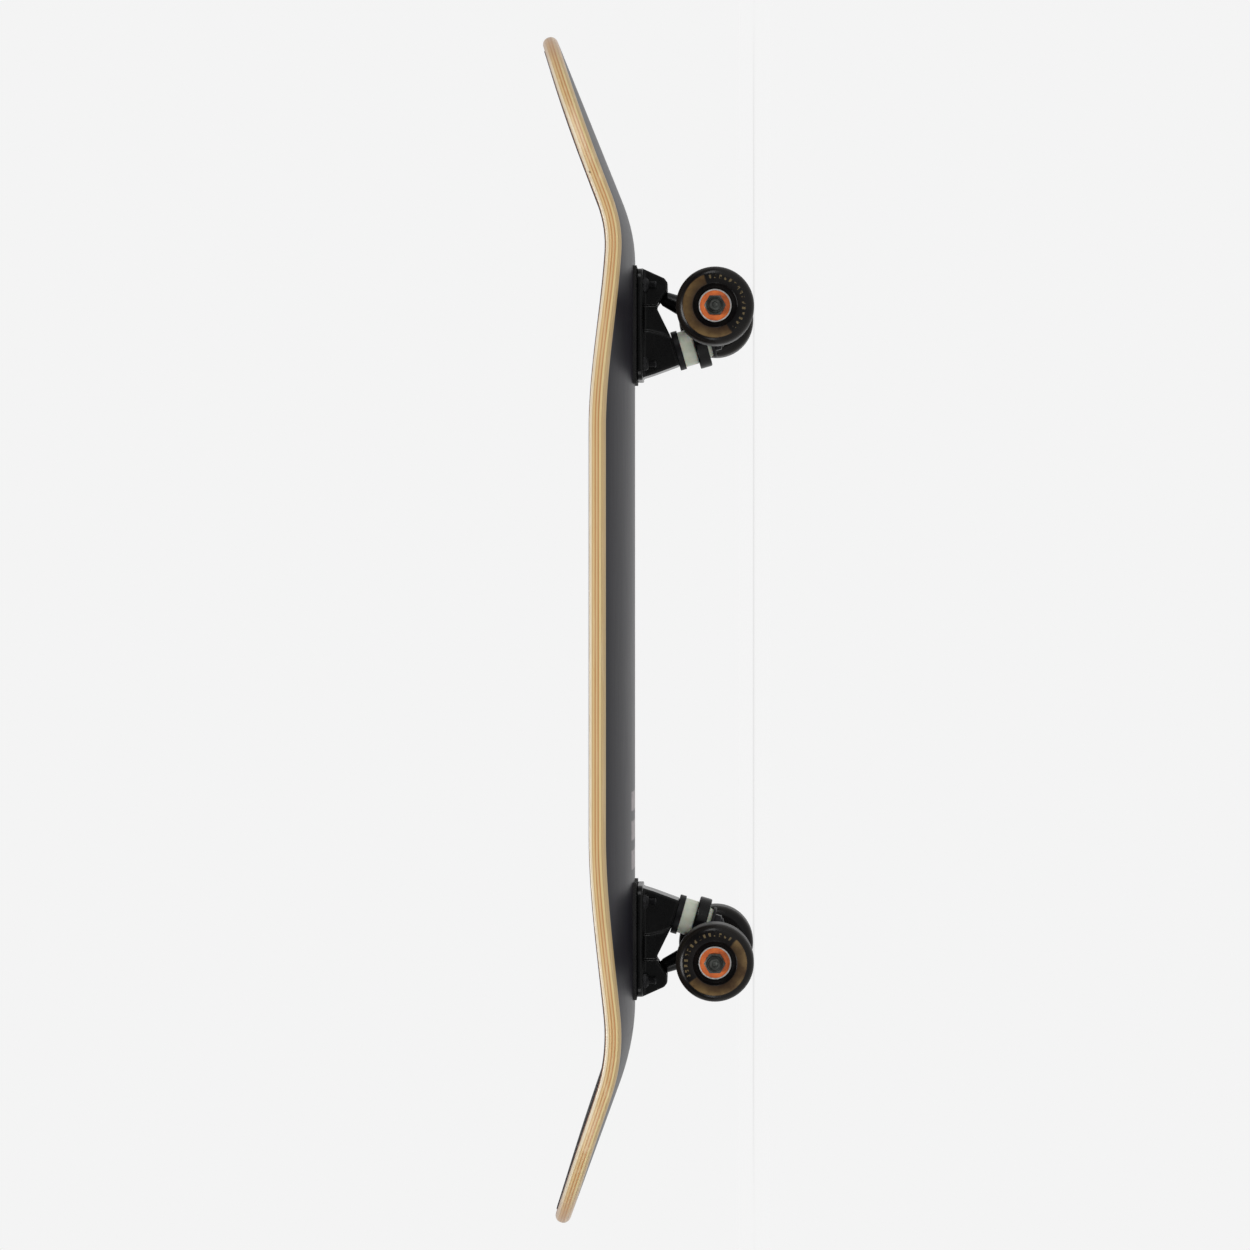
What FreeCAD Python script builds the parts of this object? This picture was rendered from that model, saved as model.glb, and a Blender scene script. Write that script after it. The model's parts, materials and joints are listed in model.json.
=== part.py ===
"""Skateboard with a maple deck, two kingpin trucks and four urethane wheels on ball bearings.

Frame: origin on the ground under the middle of the deck's length; +X to the nose, +Y to the
board's left, +Z up.  Lengths are in millimetres and angles in degrees.
"""
import FreeCAD, Part
import os
import re
from math import cos, radians, sin, sqrt, tan
import Sketcher

Vector = FreeCAD.Vector
Rotation = FreeCAD.Rotation
Placement = FreeCAD.Placement

doc = FreeCAD.newDocument("skateboard")

# ---------------------------------------------------------------- driving dimensions

SIZES = {
    # deck
    "deck_length": 812.3, "deck_width": 203.0, "end_length": 131.0,
    "wood_thickness": 10.4, "grip_thickness": 0.8, "grip_inset": 1.6,
    "belly_height": 81.4, "flat_half_width": 8.0,
    "concave_middle": 18.2, "nose_concave": 6.2, "tail_concave": 3.6,
    "concave_full_x": 135.0, "nose_concave_end": 275.0, "tail_concave_end": 320.0,
    "nose_kick_start": 252.0, "nose_kick_radius": 105.0, "nose_kick_angle": 22.0,
    "tail_kick_start": 255.0, "tail_kick_radius": 150.0, "tail_kick_angle": 20.0,
    "middle_half_length": 125.0, "loft_spans": 12, "loft_margin": 5.0,
    "trim_margin": 2.0, "trim_height": 250.0,
    # truck positions and mounting
    "front_axle_x": 217.0, "rear_axle_x": -219.8, "plate_offset": 8.4,
    "hole_pitch_x": 53.8, "hole_pitch_y": 41.3, "hole_radius": 2.7, "drill_depth": 35.0,
    "riser_length": 80.0, "riser_width": 58.0, "riser_thickness": 3.6, "riser_corner": 6.0,
    "flange_top": 79.6,
    "flange_length": 76.0, "flange_width": 56.0, "flange_thickness": 4.2, "flange_corner": 8.0,
    "bolt_radius": 2.4, "bolt_head_radius": 4.6, "bolt_head_height": 2.8, "bolt_end_height": 66.9,
    "bolt_head_edge": 0.15, "bolt_point": 0.6, "sink_gap": 0.25,
    "bolt_socket_flats": 3.2, "bolt_socket_depth": 2.2,
    "mount_nut_flats": 9.5, "mount_nut_height": 3.9, "nut_shoulder": 1.2, "nut_crown_inset": 0.4,
    # baseplate casting: half widths of its three blocks, then corners of its side outline
    "web_half_width": 10.8, "pivot_block_half_width": 14.5, "seat_block_half_width": 14.9,
    "block_overlap": 1.0, "plate_nose_x": 30.4, "toe_x": 23.4, "toe_z": 60.9, "heel_x": 20.6, "heel_z": 58.8,
    "boss_x": 15.2, "boss_z": 58.9, "arch_x": 5.0, "arch_z": 66.0, "crown_x": 2.6, "crown_z": 65.8,
    "step_x": -12.4, "step_z": 71.0, "knee_x": -14.5, "knee_z": 62.0,
    "seat_front_x": -17.7, "seat_front_z": 55.8, "seat_back_x": -35.6, "seat_back_z": 50.7,
    "back_x": -41.9, "back_z": 67.8, "plate_tail_x": -44.6,
    "housing_radius": 10.6, "housing_top": 6.0, "pocket_reach": 6.0,
    "head_recess_radius": 8.8, "head_recess_depth": 20.0, "seat_face_radius": 15.2, "seat_face_depth": 12.0,
    # pivot: ball centre and lean of its stem; reaches are down the stem from the ball's centre
    "pivot_x": 13.0, "pivot_z": 67.4, "stem_lean": 23.5, "ball_radius": 4.9, "stem_neck_radius": 3.9,
    "stem_neck_reach": 5.7, "stem_flare_radius": 5.1, "stem_flare_reach": 7.6,
    "stem_root_radius": 6.9, "stem_length": 22.0,
    "cup_radius": 7.2, "cup_top": 7.6, "cup_mouth": 4.9, "cup_mouth_radius": 6.3, "cup_clearance": 0.08,
    # kingpin: ring centre and lean; heights along it are from the ring's centre
    "ring_x": -21.0, "ring_z": 36.4, "kingpin_lean": 16.0, "kingpin_radius": 4.76, "kingpin_point": 0.8,
    "kingpin_end": -15.9, "kingpin_head_start": 35.5, "kingpin_head_height": 6.2, "kingpin_gap": 0.02,
    "kingpin_head_flats": 14.2, "seat_height": 17.8, "washer_gap": 0.1, "bushing_gap": 0.05,
    "lower_washer_radius": 13.6, "top_washer_radius": 11.6, "washer_floor": 1.6, "washer_wall": 0.7,
    "lower_washer_lip": 2.8, "top_washer_lip": 0.5, "washer_chamfer": 0.6,
    "board_bushing_radius": 12.2, "road_bushing_radius": 10.6, "road_bushing_taper": 1.2,
    "bushing_edge": 0.6, "recess_floor": 1.5, "recess_radius": 10.4, "recess_gap": 0.1,
    "top_washer_seat": -7.2,
    "kingpin_nut_flats": 14.3, "kingpin_nut_height": 6.4,
    # hanger casting, then corners of its web's side outline
    "ring_radius": 16.3, "ring_half_height": 4.2, "ring_hole_radius": 6.7,
    "hanger_half_length": 66.7, "hanger_end_radius": 8.2, "hanger_waist_radius": 7.2,
    "hanger_middle_radius": 8.6, "hanger_end_length": 5.0, "hanger_middle_half": 20.0,
    "hanger_web_width": 23.0, "waist_taper": 2.0,
    "web_ring_x": -18.0, "web_ring_z": 44.9, "web_top_x": -10.5, "web_top_z": 47.5,
    "web_root_x": 0.4, "web_root_z": 50.6, "web_arm_x": 12.8, "web_arm_z": 51.4, "web_front_x": 11.0,
    "web_front_z": 40.0, "web_axle_x": 7.5, "web_axle_z": 24.0, "web_low_x": -2.0, "web_low_z": 18.5,
    "web_back_x": -8.0, "web_back_z": 24.0, "web_under_x": -22.0, "web_under_z": 33.0,
    "gusset_x": 2.5, "gusset_thickness": 10.0, "gusset_reach": 56.0, "gusset_low": 24.0, "gusset_end": 29.0,
    "gusset_shoulder": 14.0, "gusset_top": 46.0,
    "ring_clear_radius": 17.6, "washer_room_radius": 15.5, "washer_room_end": -10.0, "nut_room_radius": 11.0,
    "room_reach": 28.0,
    # axle and what it carries; "out" distances are from the board's middle plane
    "axle_height": 26.0, "axle_radius": 3.97, "axle_half_length": 101.5, "axle_point": 0.8,
    "speed_washer_thickness": 1.0, "speed_washer_radius": 6.0,
    "axle_nut_flats": 12.7, "axle_nut_height": 7.0,
    "wheel_radius": 26.0, "wheel_width": 31.0, "wheel_out": 79.7, "wheel_lip_radius": 6.0,
    "core_mouth_radius": 14.8, "core_step_radius": 13.2, "core_step_depth": 1.6, "core_lip_radius": 9.2,
    "seat_gap": 0.5,
    # 608 bearing
    "race_outer_radius": 11.0, "race_inner_bore": 4.0, "bearing_width": 7.0,
    "inner_shoulder_radius": 6.05, "outer_shoulder_radius": 9.3, "ball_pitch_radius": 7.5,
    "race_ball_radius": 1.98, "groove_radius": 2.05, "ball_count": 7,
    "shield_inner_radius": 6.45, "shield_outer_radius": 10.0, "shield_thickness": 0.5, "shield_recess": 0.25,
    "retainer_inner_radius": 6.75, "retainer_outer_radius": 8.35, "retainer_start": 0.1,
    "retainer_length": 2.7, "pocket_gap": 0.12,
    "spacer_length": 10.0, "spacer_radius": 5.4,
}

sheet = doc.addObject("Spreadsheet::Sheet", "sizes")
for row, (alias, value) in enumerate(SIZES.items(), start=1):
    sheet.set(f"A{row}", alias)
    sheet.set(f"B{row}", str(value))
    sheet.setAlias(f"B{row}", alias)
doc.recompute()


def value(formula):
    """The number that a formula of the sheet's names works out to."""
    return float(sheet.evalExpression(formula))


def bound(formula):
    """The same formula as another object has to write it, with the sheet's name before each alias."""
    return re.sub(r"[a-z_]+", lambda word: "sizes." + word[0] if word[0] in SIZES else word[0], formula)


def sized(kind, name, place=None, **formulas):
    """A document object whose properties follow formulas of the sheet's names."""
    thing = doc.addObject(kind, name)
    for prop, formula in formulas.items():
        thing.setExpression(prop, bound(formula))
    if place:
        thing.Placement = place
    return thing


# ---------------------------------------------------------------- ways of making a piece

def outline(body, plane, corners):
    """A closed sketch on one of the body's own planes; each corner is (across, up), as formulas."""
    sketch = body.newObject("Sketcher::SketchObject", body.Name + "_outline")
    support = [face for face in body.Origin.OriginFeatures if face.Role == plane][0]
    sketch.AttachmentSupport = [(support, "")]
    sketch.MapMode = "FlatFace"
    points = [Vector(value(across), value(up), 0) for across, up in corners]
    count = len(points)
    for index, point in enumerate(points):
        sketch.addGeometry(Part.LineSegment(point, points[(index + 1) % count]))
    for index in range(count):
        sketch.addConstraint(Sketcher.Constraint("Coincident", index, 2, (index + 1) % count, 1))
    for index, corner in enumerate(corners):
        for kind, formula in zip(("DistanceX", "DistanceY"), corner):
            number = sketch.addConstraint(Sketcher.Constraint(kind, -1, 1, index, 1, value(formula)))
            sketch.setExpression(f"Constraints[{number}]", bound(formula))
    return sketch


def turned(name, corners, place=None):
    """A body turned about its own Z axis; corners are (radius, height)."""
    body = doc.addObject("PartDesign::Body", name)
    sketch = outline(body, "XZ_Plane", corners)
    turn = body.newObject("PartDesign::Revolution", name + "_turned")
    turn.Profile = sketch
    turn.ReferenceAxis = (sketch, ["V_Axis"])
    turn.Angle = 360
    body.Tip = turn
    if place:
        body.Placement = place
    return body


def slab(name, plane, corners, thickness, place=None):
    """A body padded evenly to both sides of one of its own planes."""
    body = doc.addObject("PartDesign::Body", name)
    sketch = outline(body, plane, corners)
    pad = body.newObject("PartDesign::Pad", name + "_pad")
    pad.Profile = sketch
    pad.SideType = "Symmetric"
    pad.setExpression("Length", bound(thickness))
    body.Tip = pad
    if place:
        body.Placement = place
    return body


def round_edges(body, name, radius, chosen):
    """Rounds the edges of a body's tip that the test picks."""
    doc.recompute()
    base = body.Tip
    picked = [f"Edge{n}" for n, edge in enumerate(base.Shape.Edges, start=1) if chosen(edge)]
    fillet = body.newObject("PartDesign::Fillet", name)
    fillet.Base = (base, picked)
    fillet.setExpression("Radius", bound(radius))
    body.Tip = fillet


def is_upright(edge):
    """A straight edge along Z."""
    along = edge.lastVertex().Point - edge.firstVertex().Point
    return isinstance(edge.Curve, Part.Line) and abs(along.x) + abs(along.y) < 1e-6


def is_ring_of(radius):
    """A test for round edges of one radius."""
    return lambda edge: isinstance(edge.Curve, Part.Circle) and abs(edge.Curve.Radius - radius) < 1e-6


def joined(name, pieces, place=None):
    thing = doc.addObject("Part::MultiFuse", name)
    thing.Shapes = pieces
    if place:
        thing.Placement = place
    return thing


def cut(name, base, tools, place=None):
    """The base less its tools."""
    thing = doc.addObject("Part::Cut", name)
    thing.Base = base
    thing.Tool = joined(name + "_tools", tools) if len(tools) > 1 else tools[0]
    if place:
        thing.Placement = place
    return thing


def group(name, pattern, places, place=None):
    """Several separate copies of one piece, kept together as one sub-part."""
    copies = []
    for number, spot in enumerate(places, start=1):
        copy = doc.addObject("App::Link", f"{name}_{number}")
        copy.LinkedObject = pattern
        copy.Placement = spot
        copies.append(copy)
    thing = doc.addObject("Part::Compound", name)
    thing.Links = copies
    if place:
        thing.Placement = place
    return thing


def at(x, y, z, turn=Rotation()):
    return Placement(Vector(x, y, z), turn)


def about_y(angle):
    return Rotation(Vector(0, 1, 0), angle)


subparts = []


def keep(label, thing):
    """Enters a finished object as a sub-part under its own label."""
    thing.Label = label
    subparts.append(thing)


# ---------------------------------------------------------------- deck and griptape

def surface_height(x, depth):
    """Height of the deck's centre line at x, at a depth into the wood measured up from the belly."""
    end = "nose" if x > 0 else "tail"
    start, radius, angle = (value(f"{end}_kick_{part}") for part in ("start", "radius", "angle"))
    past = abs(x) - start
    inner = radius - depth
    lean = radians(angle)
    height = value("belly_height")
    if past <= 0:
        return height + depth
    if past <= inner * sin(lean):
        return height + radius - sqrt(inner ** 2 - past ** 2)
    return height + radius - inner * cos(lean) + (past - inner * sin(lean)) * tan(lean)


def concave_rise(x):
    """How far the deck's long edges stand above its centre line at x."""
    end = "nose_concave" if x > 0 else "tail_concave"
    middle, kick, kick_x = value("concave_middle"), value(end), value(end + "_end")
    share = (kick_x - abs(x)) / (kick_x - value("concave_full_x"))
    share = min(max(share, 0.0), 1.0)
    return kick + (middle - kick) * share * share * (3 - 2 * share)


def across_deck(x, depth, reach):
    """The three edges of a layer's surface at x: curved wing, flat strip, curved wing."""
    flat = value("flat_half_width")
    height = surface_height(x, depth)
    wing = value("deck_width") / 2 - flat
    rise = concave_rise(x)
    radius = (wing ** 2 + rise ** 2) / (2 * rise)

    def wing_point(side, share):
        over = share * (reach - flat)
        return Vector(x, side * (flat + over), height + radius - sqrt(radius ** 2 - over ** 2))

    left = Part.Arc(wing_point(1, 1), wing_point(1, 0.5), wing_point(1, 0)).toShape()
    strip = Part.LineSegment(wing_point(1, 0), wing_point(-1, 0)).toShape()
    right = Part.Arc(wing_point(-1, 0), wing_point(-1, 0.5), wing_point(-1, 1)).toShape()
    return [left, strip, right]


def layer_section(x, low, high):
    """Closed wire across one layer of the deck at x."""
    reach = value("deck_width / 2 + trim_margin")
    bottom = across_deck(x, low, reach)
    top = across_deck(x, high, reach)
    ends = [Part.LineSegment(bottom[side].Vertexes[vertex].Point, top[side].Vertexes[vertex].Point).toShape()
            for side, vertex in ((0, 0), (2, -1))]
    return Part.Wire(Part.__sortEdges__(bottom + top + ends))


def deck_outline(inset):
    """Straight sides with a half ellipse on each end, less an inset all round, as an upright prism."""
    half_width = value("deck_width") / 2 - inset
    side = value("deck_length / 2 - end_length")
    edges = []
    for end in (1, -1):
        curve = Part.Ellipse(Vector(0, 0, 0), value("end_length") - inset, half_width)
        half = curve.toShape(-radians(90), radians(90))
        half.Placement = at(side, 0, 0)
        half.rotate(Vector(0, 0, 0), Vector(0, 0, 1), 0 if end > 0 else 180)
        edges.append(half)
        edges.append(Part.makeLine(Vector(-side, end * half_width, 0), Vector(side, end * half_width, 0)))
    wire = Part.Wire(Part.__sortEdges__(edges))
    return Part.Face(wire).extrude(Vector(0, 0, value("trim_height")))


def deck_layer(low, high, inset):
    """The solid between two depths of the pressed board, trimmed to the outline."""
    full = value("middle_half_length")
    middle = Part.Face(layer_section(-full, low, high)).extrude(Vector(2 * full, 0, 0))
    ends = []
    for side, end in ((1, "nose"), (-1, "tail")):
        start = value(end + "_kick_start")
        for low_x, high_x in ((full, start), (start, value("deck_length / 2 + loft_margin"))):
            spans = int(value("loft_spans"))
            stations = [low_x + (high_x - low_x) * number / spans for number in range(spans + 1)]
            ends.append(Part.makeLoft([layer_section(side * x, low, high) for x in stations], True, False))
    return middle.fuse(ends).common(deck_outline(inset))


truck_places = {
    "front": at(value("front_axle_x"), 0, 0),
    "rear": at(value("rear_axle_x"), 0, 0, Rotation(Vector(0, 0, 1), 180)),
}
bolt_spots = [(side_x * value("hole_pitch_x") / 2 - value("plate_offset"), side_y * value("hole_pitch_y") / 2)
              for side_x in (-1, 1) for side_y in (-1, 1)]
wood, grip = value("wood_thickness"), value("grip_thickness")
deck_top = value("belly_height") + wood + grip


def drilled(layer):
    """A deck layer less the eight countersunk mounting holes."""
    shank, head, depth = value("hole_radius"), value("bolt_head_radius + sink_gap"), value("drill_depth")
    sink_depth = value("bolt_head_height")
    drill = Part.makeCylinder(shank, depth, Vector(0, 0, deck_top - depth))
    sink = Part.makeCone(shank, head, sink_depth, Vector(0, 0, deck_top - sink_depth))
    rim = Part.makeCylinder(head, depth, Vector(0, 0, deck_top))
    tool = drill.fuse([sink, rim])
    for place in truck_places.values():
        for x, y in bolt_spots:
            spot = tool.copy()
            spot.Placement = place.multiply(at(x, y, 0))
            layer = layer.cut(spot)
    return layer


pressed = {"deck": deck_layer(0.0, wood, 0.0), "griptape": deck_layer(wood, wood + grip, value("grip_inset"))}
for label, blank in pressed.items():
    layer = doc.addObject("Part::Feature", label)
    shape = drilled(blank)
    layer.Shape = shape.Solids[0] if len(shape.Solids) == 1 else shape
    layer.Placement = Placement()
    keep(label, layer)


# ---------------------------------------------------------------- trucks

def bolt_holes(name, low, height):
    return [sized("Part::Cylinder", f"{name}_{number}", at(x, y, value(low)),
                  Radius="hole_radius", Height=height) for number, (x, y) in enumerate(bolt_spots, start=1)]


def plate(name, kind, bottom):
    """A flat plate with rounded corners, centred over the truck's mounting holes."""
    near, far = f"-plate_offset - {kind}_length / 2", f"{kind}_length / 2 - plate_offset"
    right, left = f"-{kind}_width / 2", f"{kind}_width / 2"
    middle = at(0, 0, value(f"{bottom} + {kind}_thickness / 2"))
    body = slab(name, "XY_Plane", [(near, right), (far, right), (far, left), (near, left)],
                f"{kind}_thickness", middle)
    round_edges(body, name + "_corners", f"{kind}_corner", is_upright)
    return body


flange_bottom = "flange_top - flange_thickness"
kingpin_place = at(value("ring_x"), 0, value("ring_z"), about_y(-value("kingpin_lean")))
pivot_place = at(value("pivot_x"), 0, value("pivot_z"), about_y(value("stem_lean")))


def up_kingpin(height):
    """A place at a height along the kingpin from the ring's centre."""
    return kingpin_place.multiply(at(0, 0, value(height)))


def riser_pad(end, place):
    """Rubber pad, flat on the flange, whose upper face is pressed to the curve of the belly."""
    name = f"{end}_riser_pad"
    board = doc.addObject("Part::Feature", name + "_board")
    board.Shape = pressed["deck"].copy()
    board.Placement = place.inverse()
    holes = bolt_holes(name + "_hole", "flange_top", "riser_thickness")
    return cut(name, plate(name + "_blank", "riser", "flange_top"), holes + [board], place)


def side_outline(*corners):
    """Corners of a side outline by name; "plate_nose" and "plate_tail" lie just inside the flange."""
    inside = flange_bottom + " + block_overlap"
    return [(f"{name}_x", inside if name.startswith("plate") else f"{name}_z") for name in corners]


def baseplate(end, place):
    """Flange, central web, kingpin seat and pivot housing, with their holes."""
    name = f"{end}_baseplate"
    flange = plate(name + "_flange", "flange", flange_bottom)
    inside = flange_bottom + " + block_overlap"
    pivot_side = side_outline("plate_nose", "toe", "heel", "boss", "arch")
    seat_side = side_outline("seat_front", "seat_back", "back", "plate_tail")
    web = slab(name + "_web", "XZ_Plane", pivot_side + side_outline("crown") + seat_side,
               "2 * web_half_width")
    pivot_block = slab(name + "_pivot_block", "XZ_Plane", pivot_side + [("arch_x", inside)],
                       "2 * pivot_block_half_width")
    seat_block = slab(name + "_seat_block", "XZ_Plane",
                      [("step_x", inside)] + side_outline("step", "knee") + seat_side,
                      "2 * seat_block_half_width")
    housing = sized("Part::Cylinder", name + "_housing", pivot_place.multiply(at(0, 0, -value("cup_mouth"))),
                    Radius="housing_radius", Height="cup_mouth + housing_top")
    holes = bolt_holes(name + "_hole", flange_bottom, "flange_thickness")
    pocket = sized("Part::Cylinder", name + "_cup_pocket",
                   pivot_place.multiply(at(0, 0, -value("cup_mouth + pocket_reach"))),
                   Radius="cup_radius", Height="cup_top + cup_mouth + pocket_reach")
    shank = sized("Part::Cylinder", name + "_kingpin_hole", kingpin_place,
                  Radius="kingpin_radius + kingpin_gap", Height="kingpin_head_start + head_recess_depth")
    head = sized("Part::Cylinder", name + "_head_recess", up_kingpin("kingpin_head_start"),
                 Radius="head_recess_radius", Height="head_recess_depth")
    below = sized("Part::Cylinder", name + "_seat_face", up_kingpin("seat_height - seat_face_depth"),
                  Radius="seat_face_radius", Height="seat_face_depth")
    casting = joined(name + "_casting", [flange, web, pivot_block, seat_block, housing])
    return cut(name, casting, holes + [pocket, shank, head, below], place)


def hexagon(name, flats, height, place=None):
    prism = sized("Part::Prism", name, place, Circumradius=f"{flats} / sqrt(3)", Height=height)
    prism.Polygon = 6
    return prism


def lock_nut(name, flats, height, bore):
    """A hexagon nut with its corners turned off and a plain bore, standing on z = 0."""
    blank = hexagon(name + "_hexagon", flats, height)
    corner = f"{flats} / sqrt(3) + nut_shoulder"
    dome = turned(name + "_dome", [("0", "0"), (corner, "0"), (corner, f"{height} - nut_shoulder"),
                                   (f"{flats} / 2 - nut_crown_inset", height), ("0", height)])
    crowned = doc.addObject("Part::Common", name + "_crowned")
    crowned.Base, crowned.Tool = blank, dome
    hole = sized("Part::Cylinder", name + "_bore", Radius=bore, Height=height)
    return cut(name, crowned, [hole])


def mounting_bolt():
    """Countersunk bolt with a hexagon socket; its head's top is at z = 0."""
    end = "bolt_end_height - (belly_height + wood_thickness + grip_thickness)"
    blank = turned("mounting_bolt_blank",
                   [("0", "0"), ("bolt_head_radius", "0"), ("bolt_head_radius", "-bolt_head_edge"),
                    ("bolt_radius", "-bolt_head_height"), ("bolt_radius", f"{end} + bolt_point"),
                    ("bolt_radius - bolt_point", end), ("0", end)])
    socket = hexagon("mounting_bolt_socket", "bolt_socket_flats", "bolt_socket_depth",
                     at(0, 0, -value("bolt_socket_depth")))
    return cut("mounting_bolt", blank, [socket])


def kingpin(end, place):
    """Bolt whose head sits in the baseplate; z runs up along it from the ring's centre."""
    name = f"{end}_kingpin"
    inside_head = "kingpin_head_start + kingpin_head_height / 2"
    shank = turned(name + "_shank",
                   [("0", "kingpin_end"), ("kingpin_radius - kingpin_point", "kingpin_end"),
                    ("kingpin_radius", "kingpin_end + kingpin_point"), ("kingpin_radius", inside_head),
                    ("0", inside_head)])
    head = hexagon(name + "_head", "kingpin_head_flats", "kingpin_head_height",
                   at(0, 0, value("kingpin_head_start")))
    return joined(name, [shank, head], place.multiply(kingpin_place))


def cup_washer(name, kind, place):
    """Dished washer; its floor is at z = 0 and its lip points down."""
    radius, rim = kind + "_washer_radius", f"-washer_floor - {kind}_washer_lip"
    bore, wall = "kingpin_radius + washer_gap", f"{radius} - washer_wall"
    return turned(name, [(bore, "0"), (f"{radius} - washer_chamfer", "0"), (radius, "-washer_chamfer"),
                         (radius, rim), (wall, rim), (wall, "-washer_floor"), (bore, "-washer_floor")], place)


bushing_bore = "kingpin_radius + bushing_gap"
bushing_foot = "recess_radius - recess_gap"


def board_bushing(name, place):
    """Straight bushing from the ring's recess up to the lower washer."""
    top, rest, radius = "seat_height - washer_floor", "ring_half_height", "board_bushing_radius"
    return turned(name, [(bushing_bore, "recess_floor"), (bushing_foot, "recess_floor"), (bushing_foot, rest),
                         (f"{radius} - bushing_edge", rest), (radius, f"{rest} + bushing_edge"),
                         (radius, f"{top} - bushing_edge"), (f"{radius} - bushing_edge", top),
                         (bushing_bore, top)], place)


def road_bushing(name, place):
    """Cone bushing from the ring's other recess down to the top washer."""
    return turned(name, [(bushing_bore, "-recess_floor"), (bushing_bore, "top_washer_seat"),
                         ("road_bushing_radius - road_bushing_taper", "top_washer_seat"),
                         ("road_bushing_radius - recess_gap", "-ring_half_height - bushing_edge"),
                         (bushing_foot, "-ring_half_height"), (bushing_foot, "-recess_floor")], place)


def pivot_cup(name, place):
    """Urethane cup round the pivot ball, with a mouth that leaves the stem room to swing."""
    hollow = sized("Part::Sphere", name + "_hollow", Radius="ball_radius + cup_clearance")
    mouth = sized("Part::Cone", name + "_mouth", at(0, 0, -value("cup_mouth")), Radius1="cup_mouth_radius",
                  Radius2="ball_radius + cup_clearance", Height="cup_mouth")
    blank = sized("Part::Cylinder", name + "_blank", at(0, 0, -value("cup_mouth")), Radius="cup_radius",
                  Height="cup_mouth + cup_top")
    return cut(name, blank, [hollow, mouth], place)


def hanger(end, place):
    """Beam, kingpin ring, pivot stem with its ball, and the webs between them."""
    name = f"{end}_hanger"
    half, neck = "hanger_half_length", "hanger_half_length - hanger_end_length"
    along_axle = Rotation(Vector(1, 0, 0), -90)
    beam = turned(name + "_beam",
                  [("axle_radius", f"-{half}"), ("hanger_end_radius", f"-{half}"),
                   ("hanger_end_radius", f"-({neck})"), ("hanger_waist_radius", f"waist_taper - ({neck})"),
                   ("hanger_middle_radius", "-hanger_middle_half"),
                   ("hanger_middle_radius", "hanger_middle_half"),
                   ("hanger_waist_radius", f"{neck} - waist_taper"), ("hanger_end_radius", neck),
                   ("hanger_end_radius", half), ("axle_radius", half)],
                  at(0, 0, value("axle_height"), along_axle))
    web = slab(name + "_web", "XZ_Plane",
               side_outline("web_ring", "web_top", "web_root", "web_arm", "web_front", "web_axle", "web_low",
                            "web_back", "web_under"), "hanger_web_width")
    gusset = slab(name + "_gusset", "YZ_Plane",
                  [("-gusset_reach", "gusset_low"), ("-gusset_reach", "gusset_end"),
                   ("-gusset_shoulder", "gusset_top"), ("gusset_shoulder", "gusset_top"),
                   ("gusset_reach", "gusset_end"), ("gusset_reach", "gusset_low")],
                  "gusset_thickness", at(value("gusset_x"), 0, 0))
    ring = sized("Part::Cylinder", name + "_ring", up_kingpin("-ring_half_height"),
                 Radius="ring_radius", Height="2 * ring_half_height")
    ball = sized("Part::Sphere", name + "_ball", pivot_place, Radius="ball_radius")
    stem = turned(name + "_stem",
                  [("0", "-stem_length"), ("stem_root_radius", "-stem_length"),
                   ("stem_flare_radius", "-stem_flare_reach"), ("stem_neck_radius", "-stem_neck_reach"),
                   ("stem_neck_radius", "0"), ("0", "0")], pivot_place)
    bore_start = at(0, -value(half), value("axle_height"), along_axle)
    tools = [sized("Part::Cylinder", name + "_axle_bore", bore_start, Radius="axle_radius",
                   Height="2 * hanger_half_length")]
    for tool, radius, low, high in (("hole", "ring_hole_radius", "-room_reach", "room_reach"),
                                    ("upper_recess", "recess_radius", "recess_floor", "room_reach"),
                                    ("lower_recess", "recess_radius", "-ring_half_height", "-recess_floor"),
                                    ("above_ring", "ring_clear_radius", "ring_half_height", "room_reach"),
                                    ("washer_room", "washer_room_radius", "washer_room_end",
                                     "-ring_half_height"),
                                    ("nut_room", "nut_room_radius", "-room_reach", "washer_room_end")):
        tools.append(sized("Part::Cylinder", f"{name}_{tool}", up_kingpin(low), Radius=radius,
                           Height=f"{high} - ({low})"))
    return cut(name, joined(name + "_casting", [beam, web, gusset, ring, ball, stem]), tools, place)


# ---------------------------------------------------------------- bearings and wheels

def tube(name, inner, outer, low, high):
    """A plain ring between two heights."""
    return turned(name, [(inner, low), (outer, low), (outer, high), (inner, high)])


def ball_groove(name):
    return sized("Part::Torus", name, Radius1="ball_pitch_radius", Radius2="groove_radius")


def inner_race():
    """Race centred on z = 0, less the groove for its balls."""
    ring = tube("inner_race_blank", "race_inner_bore", "inner_shoulder_radius",
                "-bearing_width / 2", "bearing_width / 2")
    return cut("inner_race", ring, [ball_groove("inner_race_groove")])


def outer_race():
    """Race centred on z = 0, with a step at each face that holds a shield."""
    face, step = "bearing_width / 2", "bearing_width / 2 - shield_recess - shield_thickness"
    half = [("outer_shoulder_radius", step), ("shield_outer_radius", step), ("shield_outer_radius", face),
            ("race_outer_radius", face)]
    corners = half + [(radius, f"-({height})") for radius, height in reversed(half)]
    return cut("outer_race", turned("outer_race_blank", corners), [ball_groove("outer_race_groove")])


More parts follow.
